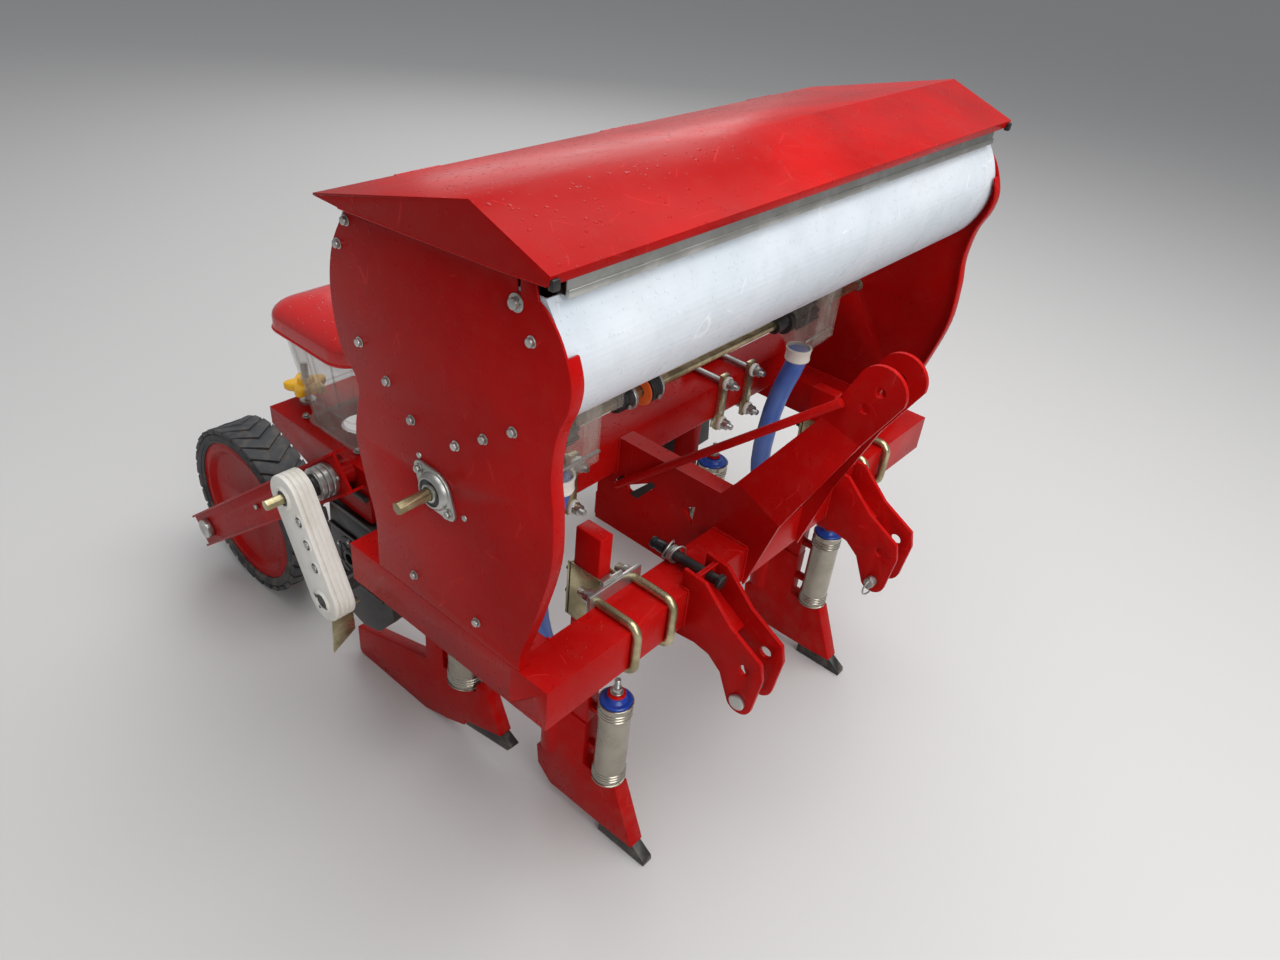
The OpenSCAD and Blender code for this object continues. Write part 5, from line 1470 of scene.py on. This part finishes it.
@dataclass
class ChainDrive(Assembly):
    """A seed unit's layered chain case, its screws, painted shade in its holes, the ringed bearing drum and the
    arm's bolts.
    """

    pivot: Pair = (620.0, 33.0)
    low: Pair = (535.0, -150.0)
    face: float = 533.0
    start: float = 587.0
    end: float = 627.0
    layers: Outline = ((0.0, 42.0), (10.0, 41.2), (11.2, 42.0), (19.4, 41.2), (20.6, 42.0), (28.8, 41.0),
                       (30.2, 42.0), (40.0, 42.0))
    screws: Outline = ((578, 4), (562, -37), (545, -79))
    seat: Outline = ((0, 10), (0, 15), (1.4, 14), (2.2, 12.6), (2.2, 11), (1.4, 10))
    screw: Outline = ((0, 0), (0, 7), (2.0, 6.6), (3.0, 5), (3.2, 3.2), (1.6, 2.8), (1.6, 0))
    # Thin black discs of painted shade: in a screw recess, in the open lower hole and in the gap around the
    # shaft.
    pit: Outline = ((0, 0), (0, 10.4), (0.5, 10.4), (0.5, 0))
    hole: Outline = ((0, 0), (0, 15.4), (0.5, 15.4), (0.5, 0))
    ring_hole: Outline = ((0, 9.4), (0, 15.4), (0.6, 15.4), (0.6, 9.4))
    sleeve: Outline = ((0, 11), (0, 21), (6, 21), (6, 18), (12, 18), (12, 21), (18, 21), (18, 11))
    sleeve_x: float = 569.5
    # Black notches of painted shade in the lower hole's chipped edge: reach, turn and half width.
    chips: tuple[Point, ...] = ((23, 0.5, 5), (20, 1.9, 4), (22, 3.4, 5), (19, 5.0, 4))
    chip_root: float = 12.0
    bosses: tuple[tuple[Pair, float], ...] = ((pivot, 22.0), (low, 21.0))
    drum_start: Outline = ((0.3, 10.2), (0.3, 30))
    drum_ring: Outline = ((0, 30), (1.4, 31), (8.4, 31), (9.8, 30), (10.3, 27.4), (11.4, 27.4))
    drum_rings: Point = (0.8, 12.6, 24.4)
    drum_front: Outline = ((35.9, 27), (35.9, 22), (33.5, 21.5), (33.5, 10.2))
    axle: Pair = (1165.0, -390.0)
    inner: float = 261.0
    arm_screws: Outline = ((912, -191), (590, 48))
    big: Fastener = Fastener(44, 13)
    small: Fastener = Fastener(11, 5.5)
    blade: Outline = ((603, -176), (611, -300), (560, -268), (562, -176))
    blade_y: float = 546.0
    blade_sheet: float = 3.0
    tab: tuple[Point, Point] = ((560, 520, -182), (586, 549, -178))

    def build(self) -> None:
        """Adds the pieces of both sides."""
        for side in Side:
            self.shell(side)
            self.holes(side)
            self.drum(side)
            self.arm_bolts(side)
            self.bracket(side)

    def capsule(self, side: Side, x: float, radius: float) -> list[Vector]:
        """The case's outline at a distance from the middle, with a radius."""
        lean = math.atan2(self.low[1] - self.pivot[1], self.low[0] - self.pivot[0])
        points = []
        for (y, z), start in ((self.pivot, math.pi / 2), (self.low, -math.pi / 2)):
            for step in range(21):
                turn = lean + start + math.pi * step / 20
                points.append(side.at(x, y + radius * math.cos(turn), z + radius * math.sin(turn)))
        return points

    def shell(self, side: Side) -> None:
        """Models the case from its layers, with its bosses and the seats of its screws."""
        parts = []
        for (a, r), (b, _) in zip(self.layers, self.layers[1:]):
            bevel = 3.0 if b == self.layers[-1][0] else 0.5
            corners = self.capsule(side, self.start + a, r)
            parts.append(Make.plate("layer", corners, side.out * ((b - a) * MM), bevel))
        for place, ring in self.bosses:
            boss = [(0, 15), (0, ring + 3), (2.2, ring), (4.2, ring - 2), (4.2, 17), (3.2, 15)]
            parts.append(Make.lathe("boss", boss, side.at(self.end - 0.4, *place), side.out))
        for place in self.screws:
            parts.append(Make.lathe("seat", self.seat, side.at(self.end - 0.2, *place), side.out, 32))
        self.piece(f"case_{side.word}", parts, "cream_case", crease=30, nodes=(f"chain_case_{side.word}",))

    def holes(self, side: Side) -> None:
        """Models thin black discs and notches as painted shade in the case's holes, screw recesses and chipped
        edge; the dark sleeve behind it; and its screws.
        """
        out, end = side.out, self.end
        # The flat discs and notches in this list are painted shade in the case's holes and recesses.
        dark = [Make.lathe("hole", self.hole, side.at(end + 0.4, *self.low), out, 40),
                Make.lathe("ring_hole", self.ring_hole, side.at(end + 0.4, *self.pivot), out, 40),
                Make.lathe("sleeve", self.sleeve, side.at(self.sleeve_x, *self.pivot), out, 40)]
        dark += [Make.lathe("pit", self.pit, side.at(end + 0.2, *place), out, 32) for place in self.screws]
        for reach, turn, width in self.chips:
            tip = Vector((0, math.cos(turn), math.sin(turn)))
            across = Vector((0, -math.sin(turn), math.cos(turn))) * width * MM
            middle = side.at(end + 4.0, *self.low)
            root = middle + tip * self.chip_root * MM
            corners = [root + across, middle + tip * reach * MM, root - across]
            dark.append(Make.plate("chip", corners, out * 0.0004))
        self.piece(f"case_holes_{side.word}", dark, "black_plastic")
        heads = [Make.lathe("screw", self.screw, side.at(end + 0.6, *place), out, 24) for place in self.screws]
        self.piece(f"case_screws_{side.word}", heads, "zinc")

    def drum(self, side: Side) -> None:
        """Models the bearing drum with its three bright rings and a front stepped in at the middle."""
        rings = [(base + along, radius) for base in self.drum_rings for along, radius in self.drum_ring]
        line = [*self.drum_start, *rings, *self.drum_front]
        drum = Make.lathe("drum", line, side.at(self.face, *self.pivot), side.out, 64)
        self.piece(f"drum_{side.word}", [drum], "zinc", crease=25, nodes=(f"shaft_hub_{side.word}",))

    def arm_bolts(self, side: Side) -> None:
        """Adds the big hex bolts on the axle and the small ones on the arm."""
        out = side.out
        axle = [(side.at(self.face, *self.axle), out), (side.at(self.inner, *self.axle), -out)]
        arm = [(side.at(self.face, *place), out) for place in self.arm_screws]
        self.piece(f"arm_bolts_{side.word}", [self.big.scatter("axle_bolts", axle),
                                              self.small.scatter("arm_screws", arm, 9)], "zinc")

    def bracket(self, side: Side) -> None:
        """Adds the bent yellow plate that hangs behind the case's lower end."""
        corners = [side.at(x, self.blade_y, z) for x, z in self.blade]
        blade = Make.plate("case_bracket", corners, REARWARD * (self.blade_sheet * MM), 0.5)
        tab = Make.block("bracket_tab", *(side.at(*place) for place in self.tab), 0.5)
        self.piece(f"case_brackets_{side.word}", [blade, tab], "gold_zinc")


@dataclass
class UnitClamps(Assembly):
    """Long clamp bolts over and under the rear beam, with upright bars in front of it."""

    x: float = 277.0
    half: float = 48.0
    heights: Pair = (88.5, -8.5)
    bar: Point = (11, 306, 317.7)
    bar_ends: Pair = (-26, 106)
    bolt_y: float = 274.0
    front_y: float = 298.0
    rear_y: float = 408.6
    spacer: Outline = ((0, 6.6), (0, 14), (1.5, 15), (6.5, 15), (8, 14), (8, 6.6))
    nut: Fastener = Fastener(21, 11, 12.5, 2)

    def build(self) -> None:
        """Adds the clamps of both units."""
        teeth = [(0, 0), (0, 5.4), *threads(12, 2.4, (0.7, 5.7), (1.9, 6.5)), (30, 6.4), (148, 6.4), (148, 0)]
        width, y0, y1 = self.bar
        z0, z1 = self.bar_ends
        bars, bolts, fronts, backs, sleeves = [], [], [], [], []
        for side in Side:
            for x in (self.x - self.half, self.x + self.half):
                bars.append(Make.block("bar", side.at(x - width, y0, z0), side.at(x + width, y1, z1), 1.2))
                for z in self.heights:
                    bolts.append(Make.lathe("bolt", teeth, side.at(x, self.bolt_y, z), REARWARD, 20))
                    fronts.append((side.at(x, self.front_y, z), -REARWARD))
                    backs.append((side.at(x, self.rear_y, z), REARWARD))
                    sleeves.append(Make.lathe("spacer", self.spacer, side.at(x, self.front_y, z), REARWARD, 32))
        self.piece("clamp_bars", bars, "gold_zinc", nodes=("unit_clamps",))
        self.piece("clamp_bolts", bolts, "zinc", crease=50)
        self.piece("clamp_spacers", sleeves, "cream_case")
        self.bolts("clamp_nuts_front", self.nut, fronts, seed=4)
        self.bolts("clamp_nuts_rear", self.nut, backs, seed=6)


@dataclass
class MeterTrim(Assembly):
    """Flanges, seams, collars and gates of the clear metering housings, and the rings on the shaft's bushes."""

    x: float = 358.0
    half: float = 38.0
    y: Pair = (172.0, 300.0)
    z: Pair = (200.0, 330.0)
    spigot: Pair = (222.0, 137.0)
    collar: Outline = ((0, 24.3), (0, 26.4), (3, 27.2), (6, 26.2), (22, 26.6), (25, 28), (28, 28), (28, 24.3))
    screw: Fastener = Fastener(8, 4, 6, 1)
    slide_knob: Outline = ((0, 0), (0, 5), (10, 5), (12, 9), (20, 9), (22, 6), (22, 0))
    guard: tuple[Point, Point] = ((-318, 206, 250), (-226, 274, 318))
    shaft: Pair = (237.0, 239.0)
    ring_a: Outline = ((-185, 10.6), (-185, 22.6), (-184, 23.4), (-179, 23.4), (-178, 22.6), (-178, 10.6))
    ring_b: Outline = ((-117.5, 10.6), (-117.5, 25.6), (-116.5, 26.6), (-113, 26.6), (-112, 25.6), (-112, 10.6))
    disc: Outline = ((-151.6, 11), (-151.6, 25), (-150.4, 27.4), (-148.4, 27.4), (-147.2, 26), (-147.2, 11))
    ribs: Outline = ((-138, 26.6), (-131, 26.6), (-124, 26.6), (-214, 18.8), (-205, 18.8), (-196, 18.8))
    bush_screw: Fastener = Fastener(9, 5)

    def build(self) -> None:
        """Adds the pieces of both housings and of the shaft."""
        for side in Side:
            self.clear_trim(side)
            self.dark_trim(side)
        self.bushes()

    def clear_trim(self, side: Side) -> None:
        """Models the clear flanges, seams and posts, the pale collar at the outlet and the screws."""
        x, (y0, y1), (z0, z1) = side.value * self.x, self.y, self.z
        low, high, word = z1 - 5, z1 - 0.6, side.word
        pieces = [
            Make.block("seam", at(x - 1.5, y0 - 2.2, z0), at(x + 1.5, y0 + 0.5, z1 - 3), 0.5),
            Make.block("flange_f", at(x - 45, y0 - 7, low), at(x + 45, y0 + 3, high), 0.8),
            Make.block("flange_r", at(x - 45, y1 - 3, low), at(x + 45, y1 + 7, high), 0.8)]
        for k in (-1, 1):
            inner, outer, post = x + k * (self.half - 1), x + k * (self.half + 7), x + k * (self.half + 1)
            pieces.append(Make.block("flange_s", at(inner, y0 - 7, low), at(outer, y1 + 7, high), 0.8))
            for y in (y0 + 22, y0 + 96):
                pieces.append(Make.rod("post", at(post, y, z0 + 2), at(post, y, low), 1.8, 10))
        self.piece(f"meter_trim_{word}", pieces, "clear_box")
        collar = Make.lathe("outlet_collar", self.collar, at(x, *self.spigot), UP)
        self.piece(f"outlet_collar_{word}", [collar], "cream_case", crease=30)
        spots = [(at(x + k * 41, y, low), -UP) for k in (-1, 1) for y in (y0 + 6, y1 - 6)]
        screws = self.screw.scatter("meter_screws", spots)
        tie = Make.rod("tie", at(x - 52, y0 + 12, z0 + 8), at(x + 52, y0 + 12, z0 + 8), 3.2, 16, 0.5)
        self.piece(f"meter_fasteners_{word}", [screws, tie], "zinc")

    def dark_trim(self, side: Side) -> None:
        """Models the black slide above each housing and the smoky guard beside the right one."""
        x, y, z = side.value * self.x, self.y[0], self.z[1]
        slide = Make.block("gate", at(x - 50, y - 4, z + 0.4), at(x + 50, y + 14, z + 7), 1.0)
        knob = Make.lathe("gate_knob", self.slide_knob, side.at(self.x - 50, y + 5, z + 4), -side.out, 24)
        self.piece(f"slide_{side.word}", [slide, knob], "black_plastic")
        if side is Side.RIGHT:
            a, b = self.guard
            self.piece("shaft_guard", [Make.block("shaft_guard", at(*a), at(*b), 4.0)], "clear_box")

    def bushes(self) -> None:
        """Models the bright rings, the orange disc and the ribs on the shaft's black bushes."""
        y, z = self.shaft
        middle, ahead = at(0, y, z), Vector((0, -1, -0.2))
        rings = [Make.lathe("ring", ring, middle, LEFTWARD) for ring in (self.ring_a, self.ring_b)]
        disc = Make.lathe("rate_disc", self.disc, middle, LEFTWARD, 64)
        self.piece("rate_disc", [disc], "orange_disc", "meter_rotor", slot="")
        spots = [(at(-130, y - 25, z - 6), ahead), (at(-200, y - 17, z - 4), ahead)]
        screws = self.bush_screw.scatter("bush_screws", spots)
        self.piece("bush_rings", [*rings, screws], "zinc", "meter_rotor")
        ribs = []
        for x, r in self.ribs:
            ribs.append(Make.lathe("rib", [(x, r - 3), (x, r), (x + 3, r), (x + 3, r - 3)], middle, LEFTWARD))
        self.piece("bush_ribs", ribs, "black_plastic", "meter_rotor")


@dataclass
class HopperTrim(Assembly):
    """Rubber corner blocks and hems of the hopper's lid."""

    corner: tuple[Point, Point] = ((596, 6, 628), (608, 15, 642))
    edge: float = 607.5
    hem: float = 2.2
    gable: Outline = ((16, 633), (92, 626), (400, 608))

    def build(self) -> None:
        """Adds the pieces at both ends of the lid."""
        blocks, hems = [], []
        for side in Side:
            blocks.append(Make.block("corner", *(side.at(*place) for place in self.corner), 1.5))
            hems.append(Make.pipe("hem", [side.at(self.edge, *place) for place in self.gable], self.hem, 1))
        self.piece("lid_corners", blocks, "black_plastic", "hopper_cover")
        self.piece("lid_hems", hems, "red_paint", "hopper_cover")


@dataclass
class PressWheels(Assembly):
    """The press wheels' hub welds and sidewall ridges, which turn with them."""

    x: float = 397.0
    middle: Pair = (1165.0, -390.0)
    half: float = 53.0
    dish: float = 18.0
    weld: Pair = (36, 2.4)
    ridges: Outline = ((184, 1.4), (190, 0.9))

    def build(self) -> None:
        """Adds the pieces of both wheels."""
        for side in Side:
            ridges, welds = [], []
            for k in (-1, 1):
                out = LEFTWARD * k
                face = at(side.value * self.x + k * (self.half - self.dish), *self.middle)
                welds.append(Make.ring("hub_weld", face + out * MM, out, *self.weld, 48))
                wall = at(side.value * self.x + k * (self.half - 0.2), *self.middle)
                ridges += [Make.ring("ridge", wall, out, *ridge, 96) for ridge in self.ridges]
            body = f"wheel_{side.word}"
            self.piece(f"wheel_welds_{side.word}", welds, "red_paint", body, 60)
            self.piece(f"tyre_ridges_{side.word}", ridges, "tyre_rubber", body)


@dataclass
class SeedMeterTrim(Assembly):
    """Ledges, cover rings and screws on the black seed meters."""

    face: float = 499.0
    middle: Pair = (628.0, -176.0)
    ledges: tuple[tuple[float, float, float, float, float], ...] = (
        (5, 562, 682, -8, 2), (4, 536, 692, -72, -62), (6, 536, 692, -126, -118), (5, 536, 692, -236, -228))
    cover: Outline = ((0, 12), (0, 46), (3, 46), (5, 43), (5, 34), (3, 33), (3, 22), (7, 20), (9, 17), (9, 12))
    spoke: Pair = (21, 35)
    screw_circle: float = 40.0
    screws: tuple[float, ...] = (0.5, 1.55, 2.6, 3.64, 4.7, 5.75)
    screw: Fastener = Fastener(7, 3.6, 5.5, 0.9)

    def around(self, side: Side, rise: float, radius: float, turn: float) -> Vector:
        """A place around the cover's middle, at a height over the meter's face."""
        y, z = self.middle
        return side.at(self.face + rise, y + radius * math.cos(turn), z + radius * math.sin(turn))

    def build(self) -> None:
        """Adds the pieces of both meters."""
        for side in Side:
            pieces = []
            for grow, y0, y1, z0, z1 in self.ledges:
                low, high = side.at(self.face - 4, y0, z0), side.at(self.face + grow, y1, z1)
                pieces.append(Make.block("ledge", low, high, 1.5))
            pieces.append(Make.lathe("cover", self.cover, side.at(self.face, *self.middle), side.out))
            for turn in (math.pi * step / 4 for step in range(8)):
                pieces.append(Make.rod("spoke", *(self.around(side, 3, r, turn) for r in self.spoke), 2.2, 8))
            self.piece(f"seed_meter_trim_{side.word}", pieces, "black_plastic")
            spots = [(self.around(side, 4, self.screw_circle, turn), side.out) for turn in self.screws]
            self.bolts(f"seed_meter_screws_{side.word}", self.screw, spots)


@dataclass
class Dresser(Assembly):
    """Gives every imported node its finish, and softens the edges of those that show them.

    A star in a node's name stands for either side.
    """

    soft_edges: tuple[tuple[str, float], ...] = (
        ("rear_beam", 4.5), ("mast_plate_*", 1.6), ("link_ears_*", 1.6), ("hopper_end_*", 1.2),
        ("hopper_lid", 1.0), ("lid_bar", 0.6), ("fert_shank_*", 2.0), ("fert_boot_*", 2.2),
        ("fert_points", 2.0), ("seed_points", 2.0),
        ("unit_frame_*", 1.6), ("wheel_arms_*", 1.2), ("seed_opener_*", 2.0), ("seed_meter_*", 3.0),
        ("meter_shaft", 0.6), ("rate_bushes", 0.8), ("mast_brace", 1.0), ("link_pins", 0.8), ("spare_pin", 1.0),
        ("drive_shaft_*", 0.7), ("wheel_disc_*", 1.6), ("wheel_tyre_*", 0.9))
    beam_edge: float = 4.5
    mast_crease: float = 12.0

    def build(self) -> None:
        """Dresses the nodes, then stands soft copies in for some of them."""
        self.coat()
        for pattern, width in self.soft_edges:
            for node in [pattern.replace("*", side.word) for side in Side] if "*" in pattern else [pattern]:
                self.recast(node, width)
        self.weld_frame()

    def coat(self) -> None:
        """Gives each node the material of its slot."""
        for name, obj in frame["nodes"].items():
            material = self.finishes[slot_of(name)]
            if not obj.material_slots:
                obj.data.materials.append(material)
            for slot in obj.material_slots:
                slot.material = material
            log.info("node %s: %s", name, material.name)

    def twin(self, node: str) -> Solid:
        """Copies a node's mesh and merges it."""
        twin = bpy.data.objects.new(f"{node}_skin", frame["nodes"][node].data.copy())
        bpy.context.collection.objects.link(twin)
        return Make.flatten(twin)

    def recast(self, node: str, width: float) -> None:
        """Stands a copy of a node in for it, with its sharp edges rounded by a width in millimetres."""
        crease = self.mast_crease if node.startswith("mast_plate") else CREASE
        twin = Make.bevel(self.twin(node), width, 2, SOFT_ANGLE)
        self.piece(twin.name, [twin], slot_of(node), body_of(node), crease, nodes=(node,))

    def weld_frame(self) -> None:
        """Stands one welded skin in for the front beam and both side arms."""
        skin = self.twin("front_beam")
        for side in Side:
            Make.cut(skin, Make.block("filler", side.at(514, 78, -80), side.at(594, 83, 0)), "UNION")
            Make.cut(skin, self.twin(f"side_arm_{side.word}"), "UNION")
        Make.bevel(Make.flatten(skin), self.beam_edge, 2, SOFT_ANGLE)
        self.piece(skin.name, [skin], "red_paint", nodes=("front_beam", "side_arm_right", "side_arm_left"))


ASSEMBLIES = (Hoses, Dresser, HopperEnds, FrameWelds, Hitch, ShankClamps, Canisters, BearingTrim, SeedHopper,
              ChainDrive, UnitClamps, MeterTrim, HopperTrim, PressWheels, SeedMeterTrim)


def main() -> None:
    """Builds the scene in order."""
    logging.basicConfig(level=logging.INFO, format="%(message)s")
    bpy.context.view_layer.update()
    Studio().build()
    finishes = {finish.name: finish.material() for finish in FINISHES}
    for assembly in ASSEMBLIES:
        assembly(finishes).build()


if __name__ == "__main__":
    main()
